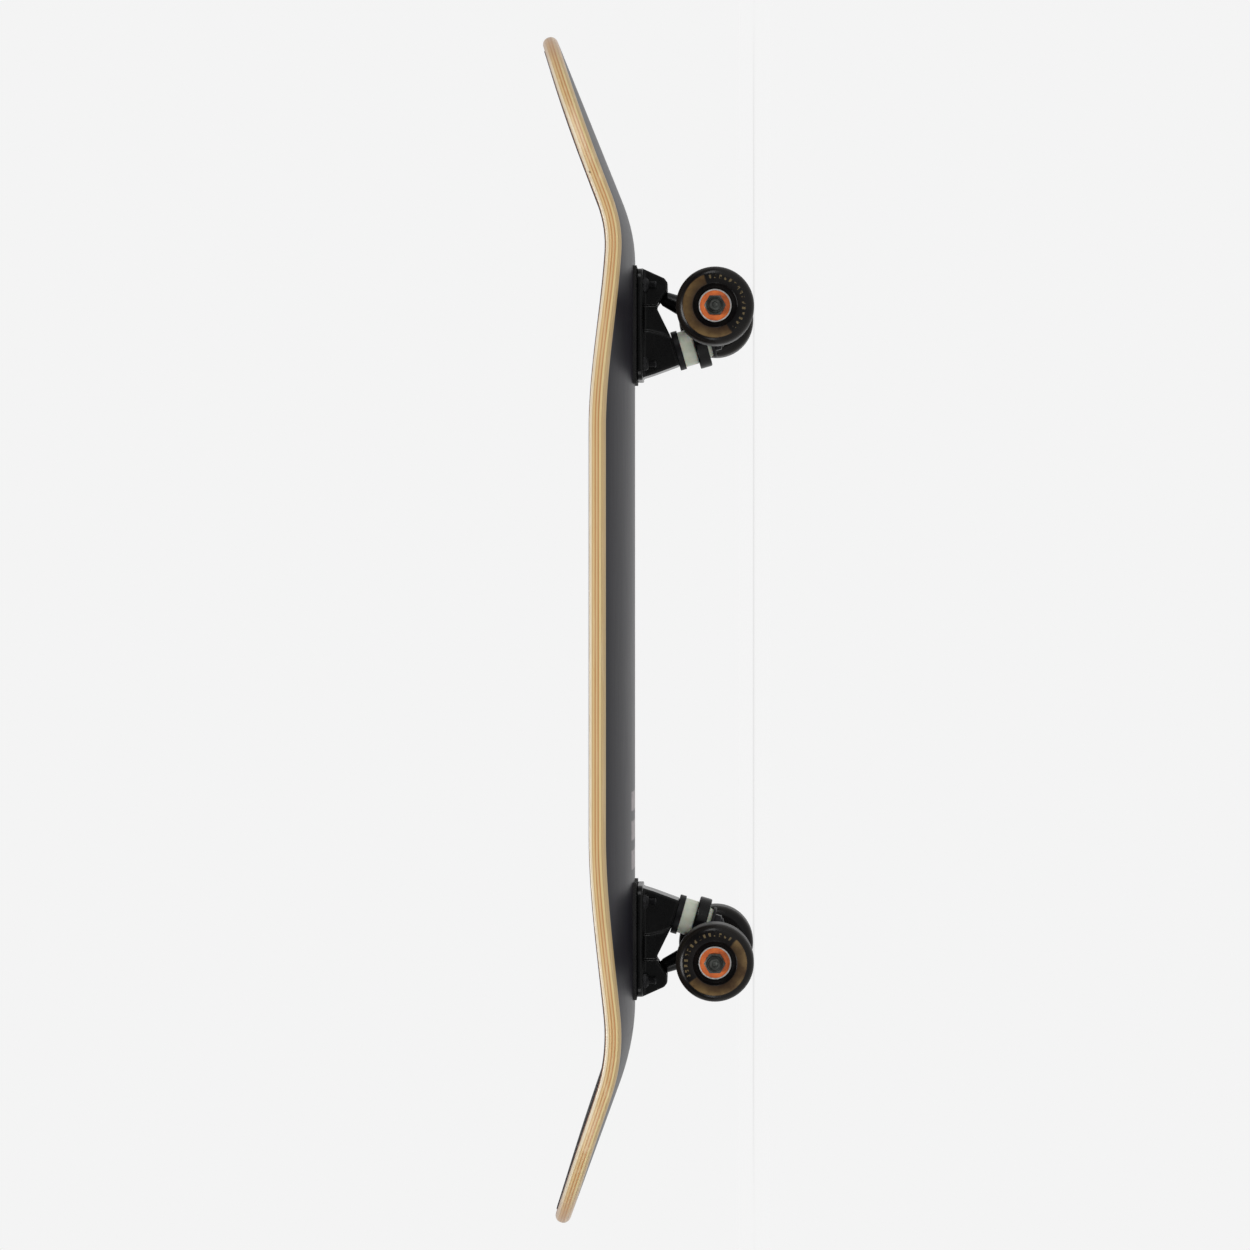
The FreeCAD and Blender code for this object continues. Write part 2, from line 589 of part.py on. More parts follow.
bolt_piece = mounting_bolt()
mount_nut_piece = lock_nut("mounting_nut", "mount_nut_flats", "mount_nut_height", "bolt_radius")
axle_nut_piece = lock_nut("axle_nut", "axle_nut_flats", "axle_nut_height", "axle_radius")
speed_washer_piece = tube("speed_washer", "race_inner_bore", "speed_washer_radius",
                          "0", "speed_washer_thickness")
inner_race_piece = inner_race()
outer_race_piece = outer_race()
shield_piece = tube("shield", "shield_inner_radius", "shield_outer_radius", "0", "shield_thickness")
spacer_piece = tube("spacer", "race_inner_bore", "spacer_radius", "-spacer_length / 2", "spacer_length / 2")
ball_piece = sized("Part::Sphere", "ball", Radius="race_ball_radius")
ball_spots = [at(0, 0, 0, Rotation(Vector(0, 0, 1), 360 * number / value("ball_count")))
              .multiply(at(value("ball_pitch_radius"), 0, 0)) for number in range(int(value("ball_count")))]


def retainer():
    """Crown ring on one side of the balls, with a pocket round each."""
    ring = tube("retainer_ring", "retainer_inner_radius", "retainer_outer_radius",
                "retainer_start", "retainer_length")
    pockets = [sized("Part::Sphere", f"retainer_pocket_{number}", spot,
                     Radius="race_ball_radius + pocket_gap") for number, spot in enumerate(ball_spots)]
    return cut("retainer", ring, pockets)


retainer_piece = retainer()
bearing_gap = value("spacer_length + bearing_width") / 2
wheel_out = value("wheel_out")
bearing_spots = [at(0, 0, wheel_out - bearing_gap), at(0, 0, wheel_out + bearing_gap)]


def wheel(name, place):
    """Urethane tyre and core in one, turned about the axle; heights are out from the middle plane."""
    seat, face, shoulder = "race_outer_radius", "wheel_width / 2", "spacer_length / 2"
    far = "spacer_length / 2 + bearing_width + seat_gap"
    half = [("core_lip_radius", shoulder), (seat, shoulder), (seat, far),
            ("core_step_radius", f"{face} - core_step_depth"), ("core_mouth_radius", face),
            ("wheel_radius", face)]
    corners = [(radius, f"wheel_out + {height}") for radius, height in half]
    corners += [(radius, f"wheel_out - ({height})") for radius, height in reversed(half)]
    body = turned(name, corners, place)
    round_edges(body, name + "_lips", "wheel_lip_radius", is_ring_of(value("wheel_radius")))
    return body


def shield_spots():
    """Both faces of both bearings, each shield set a little into its outer race."""
    depth = value("bearing_width / 2 - shield_recess - shield_thickness")
    spots = []
    for spot in bearing_spots:
        spots.append(spot.multiply(at(0, 0, depth)))
        spots.append(spot.multiply(at(0, 0, -depth, Rotation(Vector(1, 0, 0), 180))))
    return spots


# ---------------------------------------------------------------- the two ends

def mount_truck(end, place):
    """The parts of one truck that stay with the board."""
    along_kingpin = place.multiply(kingpin_place)
    over = Rotation(Vector(1, 0, 0), 180)
    keep(f"{end}_riser_pad", riser_pad(end, place))
    keep(f"{end}_baseplate", baseplate(end, place))
    bolts = [at(x, y, deck_top) for x, y in bolt_spots]
    nuts = [at(x, y, value(flange_bottom), over) for x, y in bolt_spots]
    keep(f"{end}_mounting_bolts", group(f"{end}_mounting_bolts", bolt_piece, bolts, place))
    keep(f"{end}_mounting_nuts", group(f"{end}_mounting_nuts", mount_nut_piece, nuts, place))
    keep(f"{end}_kingpin", kingpin(end, place))
    keep(f"{end}_pivot_cup", pivot_cup(f"{end}_pivot_cup", place.multiply(pivot_place)))
    seat = along_kingpin.multiply(at(0, 0, value("seat_height")))
    keep(f"{end}_lower_cup_washer", cup_washer(f"{end}_lower_cup_washer", "lower", seat))
    keep(f"{end}_board_bushing", board_bushing(f"{end}_board_bushing", along_kingpin))
    keep(f"{end}_road_bushing", road_bushing(f"{end}_road_bushing", along_kingpin))
    top_floor = at(0, 0, value("top_washer_seat - washer_floor"), over)
    under = along_kingpin.multiply(top_floor)
    keep(f"{end}_top_cup_washer", cup_washer(f"{end}_top_cup_washer", "top", under))
    nut = lock_nut(f"{end}_kingpin_nut_piece", "kingpin_nut_flats", "kingpin_nut_height", "kingpin_radius")
    keep(f"{end}_kingpin_nut", group(f"{end}_kingpin_nut", nut, [top_floor], along_kingpin))


def hang_truck(end, place):
    """Hanger, axle, wheels and bearings of one truck."""
    keep(f"{end}_hanger", hanger(end, place))
    axle_middle = place.multiply(at(0, 0, value("axle_height")))
    sides = {"left" if end == "front" else "right": -90, "right" if end == "front" else "left": 90}
    outward = {side: axle_middle.multiply(at(0, 0, 0, Rotation(Vector(1, 0, 0), turn)))
               for side, turn in sides.items()}
    reach, point = "axle_half_length", "axle_radius - axle_point"
    keep(f"{end}_axle", turned(f"{end}_axle",
                               [("0", f"-{reach}"), (point, f"-{reach}"),
                                ("axle_radius", f"axle_point - {reach}"),
                                ("axle_radius", f"{reach} - axle_point"), (point, reach), ("0", reach)],
                               outward["left"]))
    both = [axle_middle.inverse().multiply(line) for line in outward.values()]
    inner_end = wheel_out - value("spacer_length / 2 + bearing_width + speed_washer_thickness")
    outer_end = wheel_out + value("spacer_length / 2 + bearing_width")
    nut_seat = outer_end + value("speed_washer_thickness")
    for label, piece, spots in (
            ("speed_washers", speed_washer_piece, [at(0, 0, inner_end), at(0, 0, outer_end)]),
            ("axle_nuts", axle_nut_piece, [at(0, 0, nut_seat)]),
            ("bearing_inner_races", inner_race_piece, bearing_spots),
            ("bearing_spacers", spacer_piece, [at(0, 0, wheel_out)])):
        places = [line.multiply(spot) for line in both for spot in spots]
        keep(f"{end}_{label}", group(f"{end}_{label}", piece, places, axle_middle))
    for side, line in outward.items():
        corner = f"{end}_{side}"
        keep(f"{corner}_wheel", wheel(f"{corner}_wheel", line))
        balls = [spot.multiply(ball) for spot in bearing_spots for ball in ball_spots]
        for label, piece, spots in (
                ("bearing_outer_races", outer_race_piece, bearing_spots),
                ("bearing_shields", shield_piece, shield_spots()),
                ("bearing_balls", ball_piece, balls),
                ("ball_retainers", retainer_piece, bearing_spots)):
            keep(f"{corner}_{label}", group(f"{corner}_{label}", piece, spots, line))


for end, place in truck_places.items():
    mount_truck(end, place)
    hang_truck(end, place)

# ---------------------------------------------------------------- check and write

doc.recompute()
for thing in doc.Objects:
    if "Invalid" in thing.State or "Error" in thing.State:
        raise RuntimeError(f"{thing.Name} did not build: {thing.State}")
for thing in subparts:
    if thing.Shape.isNull() or not thing.Shape.isValid() or thing.Shape.Volume <= 0:
        raise RuntimeError(f"{thing.Label} has no valid solid")

os.makedirs("parts", exist_ok=True)
for thing in subparts:
    thing.Shape.exportStep(f"parts/{thing.Label}.step")
print(len(subparts), "sub-parts written")
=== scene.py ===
"""Looks of a skateboard: pressed maple deck, griptape, two trucks, four printed wheels.

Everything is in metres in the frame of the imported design: +X to the nose, +Y to the board's
left, +Z up, with the wheels on the ground at z = 0.
"""

import json
from math import cos, pi, radians, sin, sqrt, tan

import bmesh
import bpy
from mathutils import Matrix, Vector
from mathutils.geometry import delaunay_2d_cdt


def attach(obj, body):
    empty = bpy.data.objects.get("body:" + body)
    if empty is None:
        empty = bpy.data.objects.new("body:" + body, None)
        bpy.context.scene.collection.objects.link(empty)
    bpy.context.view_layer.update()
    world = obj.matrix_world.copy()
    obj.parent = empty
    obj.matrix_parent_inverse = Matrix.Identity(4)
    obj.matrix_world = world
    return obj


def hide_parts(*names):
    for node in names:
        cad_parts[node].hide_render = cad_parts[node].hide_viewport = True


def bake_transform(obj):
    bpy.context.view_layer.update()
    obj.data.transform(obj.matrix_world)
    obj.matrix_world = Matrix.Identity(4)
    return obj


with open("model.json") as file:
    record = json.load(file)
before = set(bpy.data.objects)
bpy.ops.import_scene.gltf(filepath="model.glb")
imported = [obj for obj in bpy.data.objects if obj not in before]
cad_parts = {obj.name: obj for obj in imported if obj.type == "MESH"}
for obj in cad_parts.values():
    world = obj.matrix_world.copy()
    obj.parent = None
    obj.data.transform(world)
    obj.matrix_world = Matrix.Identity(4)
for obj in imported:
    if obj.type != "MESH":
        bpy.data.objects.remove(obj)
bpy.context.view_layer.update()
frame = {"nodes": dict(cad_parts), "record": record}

MM = 0.001
ENDS = ("front", "rear")
SIDES = ("left", "right")
JOINTS = {joint["name"]: joint for joint in frame["record"]["behaviour"]["joints"]}


def axle_x(end):
    return JOINTS[f"{end}_left_wheel_spin"]["pos_m"][0]


# ---------------- nodes and shader maths

def add(tree, kind, sockets, **settings):
    """A node with its settings, and its inputs set or linked; returns its outputs."""
    made = tree.nodes.new(kind)
    for name, setting in settings.items():
        setattr(made, name, setting)
    for name, value in sockets.items():
        target = made.inputs[name]
        if isinstance(value, Wire):
            tree.links.new(value.socket, target)
        elif isinstance(value, bpy.types.NodeSocket):
            tree.links.new(value, target)
        elif isinstance(value, tuple) and len(value) < len(target.default_value):
            target.default_value = (*value, 1)
        else:
            target.default_value = value
    return made.outputs


class Wire:
    """A shader socket that takes part in sums; each operation adds one Math node."""

    def __init__(self, paint, socket):
        self.paint = paint
        self.socket = socket

    def __add__(self, other):
        return self.paint.maths("ADD", self, other)

    def __sub__(self, other):
        return self.paint.maths("SUBTRACT", self, other)

    def __mul__(self, other):
        return self.paint.maths("MULTIPLY", self, other)

    def __pow__(self, other):
        return self.paint.maths("POWER", self, other)

    def __rsub__(self, other):
        return self.paint.maths("SUBTRACT", other, self)

    __radd__ = __add__
    __rmul__ = __mul__

    def above(self, edge):
        """1 where this is over an edge value, else 0."""
        return self.paint.maths("GREATER_THAN", self, edge)

    def rise(self, low, high):
        """0 below low, 1 above high, and smooth between."""
        values = {"Value": self, "From Min": low, "From Max": high}
        return self.paint.node("ShaderNodeMapRange", values, interpolation_type="SMOOTHSTEP")

    def band(self, low, high, soft):
        """1 between two values, with soft sides."""
        return self.rise(low - soft, low + soft) * (1 - self.rise(high - soft, high + soft))

    def part(self, number):
        """One component of a vector: 0, 1 or 2."""
        return self.paint.node("ShaderNodeSeparateXYZ", [self], number)


class Paint:
    """One finish: a material with a Principled shader, and the nodes that feed it."""

    def __init__(self, name, **fixed):
        self.material = bpy.data.materials.new(name)
        self.material.use_nodes = True
        self.tree = self.material.node_tree
        self.tree.nodes.clear()
        values = {label.replace("_", " "): value for label, value in fixed.items()}
        surface = add(self.tree, "ShaderNodeBsdfPrincipled", values)[0]
        self.shader = surface.node
        add(self.tree, "ShaderNodeOutputMaterial", {0: surface})

    def node(self, kind, sockets=(), out=0, **settings):
        """A node as a wire from one of its outputs; its sockets go by order or by name."""
        named = sockets if isinstance(sockets, dict) else dict(enumerate(sockets))
        return Wire(self, add(self.tree, kind, named, **settings)[out])

    def maths(self, operation, *terms):
        return self.node("ShaderNodeMath", terms, operation=operation)

    def feed(self, **wires):
        """Links wires to the shader's sockets."""
        for label, wire in wires.items():
            self.tree.links.new(wire.socket, self.shader.inputs[label.replace("_", " ")])
        return self.material

    def finish(self, colour, rough, relief, depth):
        """Feeds the colour, the roughness and a relief this many metres deep."""
        normal = self.node("ShaderNodeBump", {"Height": relief, "Distance": depth, "Strength": 1.0})
        return self.feed(Base_Color=colour, Roughness=rough, Normal=normal)

    def place(self):
        """Object coordinates, in metres."""
        return self.node("ShaderNodeTexCoord", out=3)

    def stored(self, name, vector=False):
        """A value kept on the mesh."""
        return self.node("ShaderNodeAttribute", out=1 if vector else 2, attribute_name=name)

    def noise(self, vector, scale, detail=2.0, roughness=0.5):
        """Cloudy noise; three scales stretch it along the axes."""
        if isinstance(scale, tuple):
            vector = self.node("ShaderNodeVectorMath", [vector, scale], operation="MULTIPLY")
            scale = 1.0
        values = {"Vector": vector, "Scale": scale, "Detail": detail, "Roughness": roughness}
        return self.node("ShaderNodeTexNoise", values)

    def ramp(self, wire, stops):
        """A colour by a value, from pairs of a value and a colour."""
        made = self.node("ShaderNodeValToRGB", [wire])
        elements = made.socket.node.color_ramp.elements
        while len(elements) < len(stops):
            elements.new(0.5)
        for element, (place, colour) in zip(elements, stops):
            element.position = place
            element.color = (*colour, 1)
        return made

    def mix(self, low, high, share):
        """A colour between two colours."""
        return self.node("ShaderNodeMix", {0: share, 6: low, 7: high}, 2, data_type="RGBA")


def grey(level):
    return (level, level, level)


# ---------------- finishes

VENEER_STOPS = (
    (0.00, (0.42, 0.30, 0.14)), (0.12, (0.48, 0.34, 0.16)), (0.15, (0.38, 0.23, 0.09)),
    (0.19, (0.56, 0.44, 0.20)), (0.29, (0.62, 0.49, 0.24)), (0.32, (0.40, 0.18, 0.055)),
    (0.38, (0.43, 0.20, 0.065)), (0.41, (0.58, 0.42, 0.20)), (0.48, (0.58, 0.43, 0.22)),
    (0.51, (0.41, 0.19, 0.06)), (0.57, (0.46, 0.23, 0.08)), (0.60, (0.60, 0.44, 0.21)),
    (0.70, (0.56, 0.38, 0.18)), (0.73, (0.47, 0.28, 0.12)), (0.76, (0.66, 0.54, 0.34)),
    (0.86, (0.68, 0.61, 0.47)), (0.925, (0.62, 0.53, 0.39)), (0.95, (0.26, 0.13, 0.08)),
)
VENEERS = 7
GLUE_HALF = 0.004
KNOT_X = (0.3043, 0.3057)
KNOT_DEPTH = (0.70, 0.80)
TIP_DARK_X = (0.372, 0.400)


def maple():
    """Bare laminated edge: seven veneers by depth, with end grain and a clear lacquer."""
    paint = Paint("maple", Roughness=0.38, Coat_Weight=0.35, Coat_Roughness=0.2)
    where = paint.place()
    depth = paint.stored("depth")
    waver = (paint.noise(where, (9.0, 2.0, 2.0)) - 0.5) * 0.03
    plies = paint.ramp(depth + waver, VENEER_STOPS)
    grain = paint.noise(where, (26.0, 900.0, 900.0), 3.0)
    long_grain = paint.noise(where, (14.0, 320.0, 320.0), 3.0, 0.6)
    pores = paint.noise(where, (60.0, 2200.0, 2200.0)).rise(0.62, 0.74)
    colour = paint.mix(plies, (0.60, 0.40, 0.20), grain.rise(0.42, 0.78) * 0.16)
    colour = paint.mix(colour, (0.88, 0.76, 0.55), long_grain.rise(0.5, 0.8) * 0.22)
    colour = paint.mix(colour, (0.20, 0.10, 0.04), pores * 0.14)
    lines = [number / VENEERS for number in range(1, VENEERS)]
    glue = sum(depth.band(line - GLUE_HALF, line + GLUE_HALF, GLUE_HALF) for line in lines)
    colour = paint.mix(colour, (0.25, 0.13, 0.05), glue * 0.22)
    burnt = paint.noise(where, 5.0).rise(0.5, 0.75)
    colour = paint.mix(colour, (0.42, 0.24, 0.10), burnt * 0.12)
    tips = (where.part(0) ** 2).rise(*(x ** 2 for x in TIP_DARK_X))
    colour = paint.mix(colour, (0.40, 0.21, 0.09), tips * 0.65)
    right_side = 1 - where.part(1).above(0)
    knot = where.part(0).band(*KNOT_X, 0.0004) * depth.band(*KNOT_DEPTH, 0.04) * right_side
    colour = paint.mix(colour, (0.10, 0.04, 0.015), knot * 0.85)
    relief = grain * 0.5 + long_grain * 0.3 - glue * 0.6
    return paint.finish(colour, grain * 0.16 + 0.30, relief, 0.00018)


BAR_STARTS = (-0.162, -0.142, -0.122)
BAR_LENGTH = 0.013
BAR_ENDS_Y = (0.033, 0.035)


def belly_paint():
    """Satin charcoal on the underside, a little worn, with a plain pale graphic of bars."""
    paint = Paint("belly_paint", Specular_IOR_Level=0.1)
    where = paint.place()
    cloud = paint.noise(where, (7.0, 18.0, 7.0), 4.0, 0.6)
    grain = paint.noise(where, (22.0, 520.0, 60.0), 3.0, 0.65)
    speckle = paint.noise(where, 2600.0, 1.0)
    colour = paint.mix((0.010, 0.0095, 0.0135), (0.017, 0.016, 0.021), cloud.rise(0.35, 0.7))
    colour = paint.mix(colour, (0.034, 0.031, 0.035), grain.rise(0.6, 0.85) * 0.5)
    along, across = where.part(0), where.part(1)
    bars = sum(along.band(start, start + BAR_LENGTH, 0.0006) for start in BAR_STARTS)
    inside = 1 - (across * across).rise(*(y ** 2 for y in BAR_ENDS_Y))
    worn = 0.75 - paint.noise(where, 220.0, 3.0).rise(0.45, 0.8) * 0.6
    colour = paint.mix(colour, (0.34, 0.29, 0.30), bars * inside * worn)
    scuff = paint.noise(where, (160.0, 14.0, 30.0), 4.0, 0.7).rise(0.66, 0.78)
    colour = paint.mix(colour, (0.12, 0.11, 0.11), scuff * 0.25)
    relief = grain * 0.6 + speckle * 0.25
    rough = cloud * 0.10 + grain * 0.10 + scuff * 0.15 + 0.26
    return paint.finish(colour, rough, relief, 0.00007)


GRAINS_PER_METRE = 1700.0


def grip():
    """Abrasive sheet: sharp black grains with a few that glint."""
    paint = Paint("grip", Roughness=0.85)
    where = paint.place()
    values = {"Vector": where, "Scale": GRAINS_PER_METRE}
    grains, tints = (paint.node("ShaderNodeTexVoronoi", values, out) for out in (0, 1))
    tint = tints.part(0)
    dust = paint.noise(where, (9.0, 14.0, 9.0), 5.0, 0.6)
    colour = paint.mix((0.010, 0.010, 0.011), (0.045, 0.044, 0.045), tint ** 3)
    colour = paint.mix(colour, (0.075, 0.070, 0.066), dust.rise(0.55, 0.85) * 0.35)
    glint = tint.rise(0.93, 0.97)
    colour = paint.mix(colour, (0.35, 0.35, 0.37), glint * 0.5)
    return paint.finish(colour, 0.92 - glint * 0.6, 1 - grains * 1.4, 0.00045)


def casting():
    """Gloss black powder coat over a die casting."""
    paint = Paint("casting", Specular_IOR_Level=0.16, Coat_Weight=0.06, Coat_Roughness=0.08)
    where = paint.place()
    peel = paint.noise(where, 900.0)
    sand = paint.noise(where, 260.0, 3.0, 0.55)
    wear = paint.noise(where, 70.0, 4.0, 0.65)
    colour = paint.mix((0.0016, 0.0017, 0.0018), (0.0042, 0.0046, 0.0046), wear.rise(0.45, 0.8))
    relief = peel * 0.5 + sand
    return paint.finish(colour, wear * 0.16 + 0.20, relief, 0.00004)


def black_steel():
    """Blackened hardware steel with faint turning marks and bright rubbed spots."""
    paint = Paint("black_steel", Metallic=0.4, Specular_IOR_Level=0.2)
    where = paint.place()
    fine = paint.noise(where, 2400.0)
    rub = paint.noise(where, 420.0, 3.0, 0.6).rise(0.58, 0.8)
    colour = paint.mix((0.009, 0.009, 0.010), (0.06, 0.057, 0.054), rub * 0.5)
    return paint.finish(colour, 0.42 - rub * 0.12 + fine * 0.08, fine, 0.00003)


def turned_steel():
    """Bright steel turned on a lathe: fine rings about the piece's own axis."""
    paint = Paint("turned_steel", Metallic=1.0)
    local = paint.stored("local", vector=True)
    across, up = local.part(0), local.part(1)
    radius = (across * across + up * up) ** 0.5
    rings = paint.maths("SINE", (radius + local.part(2)) * 42000.0)
    film = paint.noise(local, 500.0, 3.0, 0.6)
    colour = paint.mix((0.52, 0.51, 0.49), (0.74, 0.73, 0.70), film.rise(0.3, 0.7))
    return paint.finish(colour, 0.22 + film * 0.16, rings, 0.000004)


def shade_darkened_steel():
    """Steel of the axles and their nuts, its colour kept near black as painted shade for the dark reflections
    it shows, and darker where it is oily.
    """
    paint = Paint("shade_darkened_steel", Metallic=0.85)
    where = paint.place()
    oil = paint.noise(where, 190.0, 3.0)
    fine = paint.noise(where, 1500.0)
    # painted shade: both colours are far darker than bare steel, standing in for the dark surroundings the
    # steel reflects
    colour = paint.mix((0.034, 0.037, 0.034), (0.078, 0.082, 0.076), oil.rise(0.35, 0.7))
    return paint.finish(colour, 0.42 + fine * 0.08, fine, 0.00001)


def bushing():
    """Pale grey-green urethane, cloudy, with a moulding line and fine scratches."""
    paint = Paint("bushing", Subsurface_Weight=0.25, Subsurface_Scale=0.004, Coat_Weight=0.15,
                  Coat_Roughness=0.25)
    local = paint.stored("local", vector=True)
    cloud = paint.noise(local, 130.0, 4.0, 0.6)
    scratch = paint.noise(local, (300.0, 300.0, 2600.0), 3.0)
    colour = paint.mix((0.56, 0.60, 0.49), (0.70, 0.73, 0.61), cloud.rise(0.3, 0.7))
    colour = paint.mix(colour, (0.34, 0.36, 0.30), scratch.rise(0.62, 0.82) * 0.3)
    return paint.finish(colour, 0.34 + cloud * 0.2, scratch, 0.00003)


def dark_rubber():
    """Matt black rubber of riser pads and pivot cups."""
    paint = Paint("dark_rubber", Specular_IOR_Level=0.15)
    where = paint.place()
    skin = paint.noise(where, 1500.0, 3.0, 0.6)
    cloud = paint.noise(where, 60.0, 3.0)
    colour = paint.mix((0.010, 0.010, 0.010), (0.028, 0.027, 0.027), cloud)
    return paint.finish(colour, 0.62 + skin * 0.2, skin, 0.00008)


def shield():
    """Orange moulded bearing shield."""
    paint = Paint("shield", Coat_Weight=0.1)
    local = paint.stored("local", vector=True)
    skin = paint.noise(local, 2200.0)
    cloud = paint.noise(local, 240.0, 3.0)
    colour = paint.mix((0.47, 0.085, 0.008), (0.60, 0.130, 0.015), cloud.rise(0.3, 0.7))
    return paint.finish(colour, 0.46 + skin * 0.14, skin, 0.00004)


def nylon():
    """Pale moulded nylon of the ball retainers."""
    paint = Paint("nylon", Subsurface_Weight=0.1, Subsurface_Scale=0.002)
    cloud = paint.noise(paint.place(), 400.0, 3.0)
    colour = paint.mix((0.60, 0.58, 0.52), (0.72, 0.70, 0.64), cloud)
    return paint.finish(colour, 0.4 + cloud * 0.15, cloud, 0.00003)


BAND_INNER, BAND_OUTER = 14.9 * MM, 21.4 * MM
TICK_INNER, TICK_OUTER, TICK_COUNT = 18.0 * MM, 20.4 * MM, 34


def wheel_urethane(turn):
    """Smoky dark urethane; the outer face carries a bronze half ring and a row of short ticks.

    turn is the direction, in the wheel's own frame, of the middle of the half ring."""
    paint = Paint(f"wheel_urethane_{round(turn * 100)}", Coat_Weight=0.06, Coat_Roughness=0.1,
                  Specular_IOR_Level=0.13)
    local = paint.stored("local", vector=True)
    across, up, out = local.part(0), local.part(1), local.part(2)
    radius = (across * across + up * up) ** 0.5
    angle = paint.maths("ARCTAN2", up * cos(turn) - across * sin(turn),
                        across * cos(turn) + up * sin(turn))
    cloud = paint.noise(local, 150.0, 4.0, 0.6)
    haze = paint.noise(local, 45.0, 3.0)
    colour = paint.mix((0.0026, 0.0024, 0.0026), (0.0065, 0.0055, 0.005), haze.rise(0.35, 0.7))
    colour = paint.mix(colour, (0.014, 0.011, 0.008), radius.rise(22 * MM, 26 * MM) * 0.5)
    front = out.rise(10 * MM, 13 * MM)
    turn_share = paint.maths("ABSOLUTE", angle)
    edge_noise = (cloud - 0.5) * 0.10
    half = 1 - (turn_share + edge_noise).rise(1.62, 1.70)
    ring = radius.band(BAND_INNER, BAND_OUTER, 0.35 * MM)
    fade = radius.rise(BAND_INNER - 2 * MM, BAND_OUTER) * 0.75 + 0.25
    streak = paint.noise(local, (90.0, 90.0, 20.0), 3.0, 0.55)
    bronze = paint.mix((0.030, 0.013, 0.006), (0.150, 0.096, 0.040), streak.rise(0.15, 0.75) * fade)
    colour = paint.mix(colour, bronze, ring * half * (0.25 + fade * 0.65) * front)
    tick_turn = paint.maths("PINGPONG", angle, pi / TICK_COUNT)
    ticks = tick_turn.band(-1.0, pi / 82, 0.006) * radius.band(TICK_INNER, TICK_OUTER, 0.15 * MM)
    broken = paint.noise(local, (330.0, 330.0, 1.0), 1.0).rise(0.42, 0.5)
    other = turn_share.rise(1.78, 1.86)
    colour = paint.mix(colour, (0.16, 0.12, 0.06), ticks * broken * other * front * 0.6)
    road = paint.noise(local, (700.0, 700.0, 160.0), 3.0)
    tread = radius.rise(25.2 * MM, 25.9 * MM)
    colour = paint.mix(colour, (0.045, 0.042, 0.040), tread * road.rise(0.5, 0.8) * 0.6)
    rough = 0.20 + cloud * 0.12 + tread * 0.22
    return paint.finish(colour, rough, road * tread + cloud * 0.3, 0.00005)


FINISH = {
    "maple": maple(), "belly": belly_paint(), "grip": grip(), "casting": casting(),
    "black_steel": black_steel(), "steel": turned_steel(), "axle": shade_darkened_steel(), "bushing": bushing(),
    "rubber": dark_rubber(), "shield": shield(), "nylon": nylon(),
}


# ---------------- meshes

def linked(name, data):
    """An object in the scene."""
    made = bpy.data.objects.new(name, data)
    bpy.context.collection.objects.link(made)
    return made


def baked(carrier):
    """A carrier's mesh as its modifiers leave it; the carrier goes."""
    graph = bpy.context.evaluated_depsgraph_get()
    mesh = bpy.data.meshes.new_from_object(carrier.evaluated_get(graph))
    bpy.data.objects.remove(carrier)
    return mesh


def new_piece(name, points, faces, finishes, place=Matrix(), smooth=radians(32)):
    """A mesh object at the origin; its own coordinates are kept as "local" before it is placed."""
    mesh = bpy.data.meshes.new(name)
    mesh.from_pydata([tuple(point) for point in points], [], faces)
    mesh.update()
    return finished(name, mesh, finishes, place, smooth)


def finished(name, mesh, finishes, place=Matrix(), smooth=radians(32)):
    """A mesh as an object in its place, with its finishes and its edges sharper than smooth."""
    if "local" not in mesh.attributes:
        local = mesh.attributes.new("local", "FLOAT_VECTOR", "POINT")
        local.data.foreach_set("vector", [number for vertex in mesh.vertices for number in vertex.co])
    mesh.transform(place)
    mesh.shade_smooth()
    mesh.set_sharp_from_angle(angle=smooth)
    mesh.materials.clear()
    for finish in finishes:
        mesh.materials.append(finish)
    return linked(name, mesh)


def belongs(piece, body, node):
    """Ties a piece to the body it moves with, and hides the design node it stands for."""
    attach(piece, body)
    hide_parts(node)


def rounded(corners, radius, steps=5):
    """A closed profile with every corner rounded, or those whose radius in the list is not 0."""
    count = len(corners)
    sizes = radius if isinstance(radius, (list, tuple)) else [radius] * count
    points = []
    for index, corner in enumerate(corners):
        if sizes[index] == 0:
            points.append(corner)
            continue
        here = Vector(corner)
        before = (Vector(corners[index - 1]) - here).normalized()
        after = (Vector(corners[(index + 1) % count]) - here).normalized()
        half = before.angle(after) / 2
        reach = sizes[index] / tan(half)
        centre = here + (before + after).normalized() * (sizes[index] / sin(half))
        first, last = here + before * reach, here + after * reach
        for step in range(steps + 1):
            point = first.lerp(last, step / steps)
            points.append(tuple(centre + (point - centre).normalized() * sizes[index]))
    return points


def circle(radius, count):
    """The x and y of points evenly round a circle."""
    return [(radius * cos(2 * pi * n / count), radius * sin(2 * pi * n / count)) for n in range(count)]


def loop(count, first=0):
    """The edges that join a run of point numbers into a ring."""
    return [(first + n, first + (n + 1) % count) for n in range(count)]


def strip(lower, upper):
    """Faces between two rings of point numbers; they are triangles where one ring is one point."""
    faces = [(lower[n], lower[after], upper[after], upper[n]) for n, after in loop(len(lower))]
    faces = [tuple(dict.fromkeys(face)) for face in faces]
    return [face for face in faces if len(face) > 2]


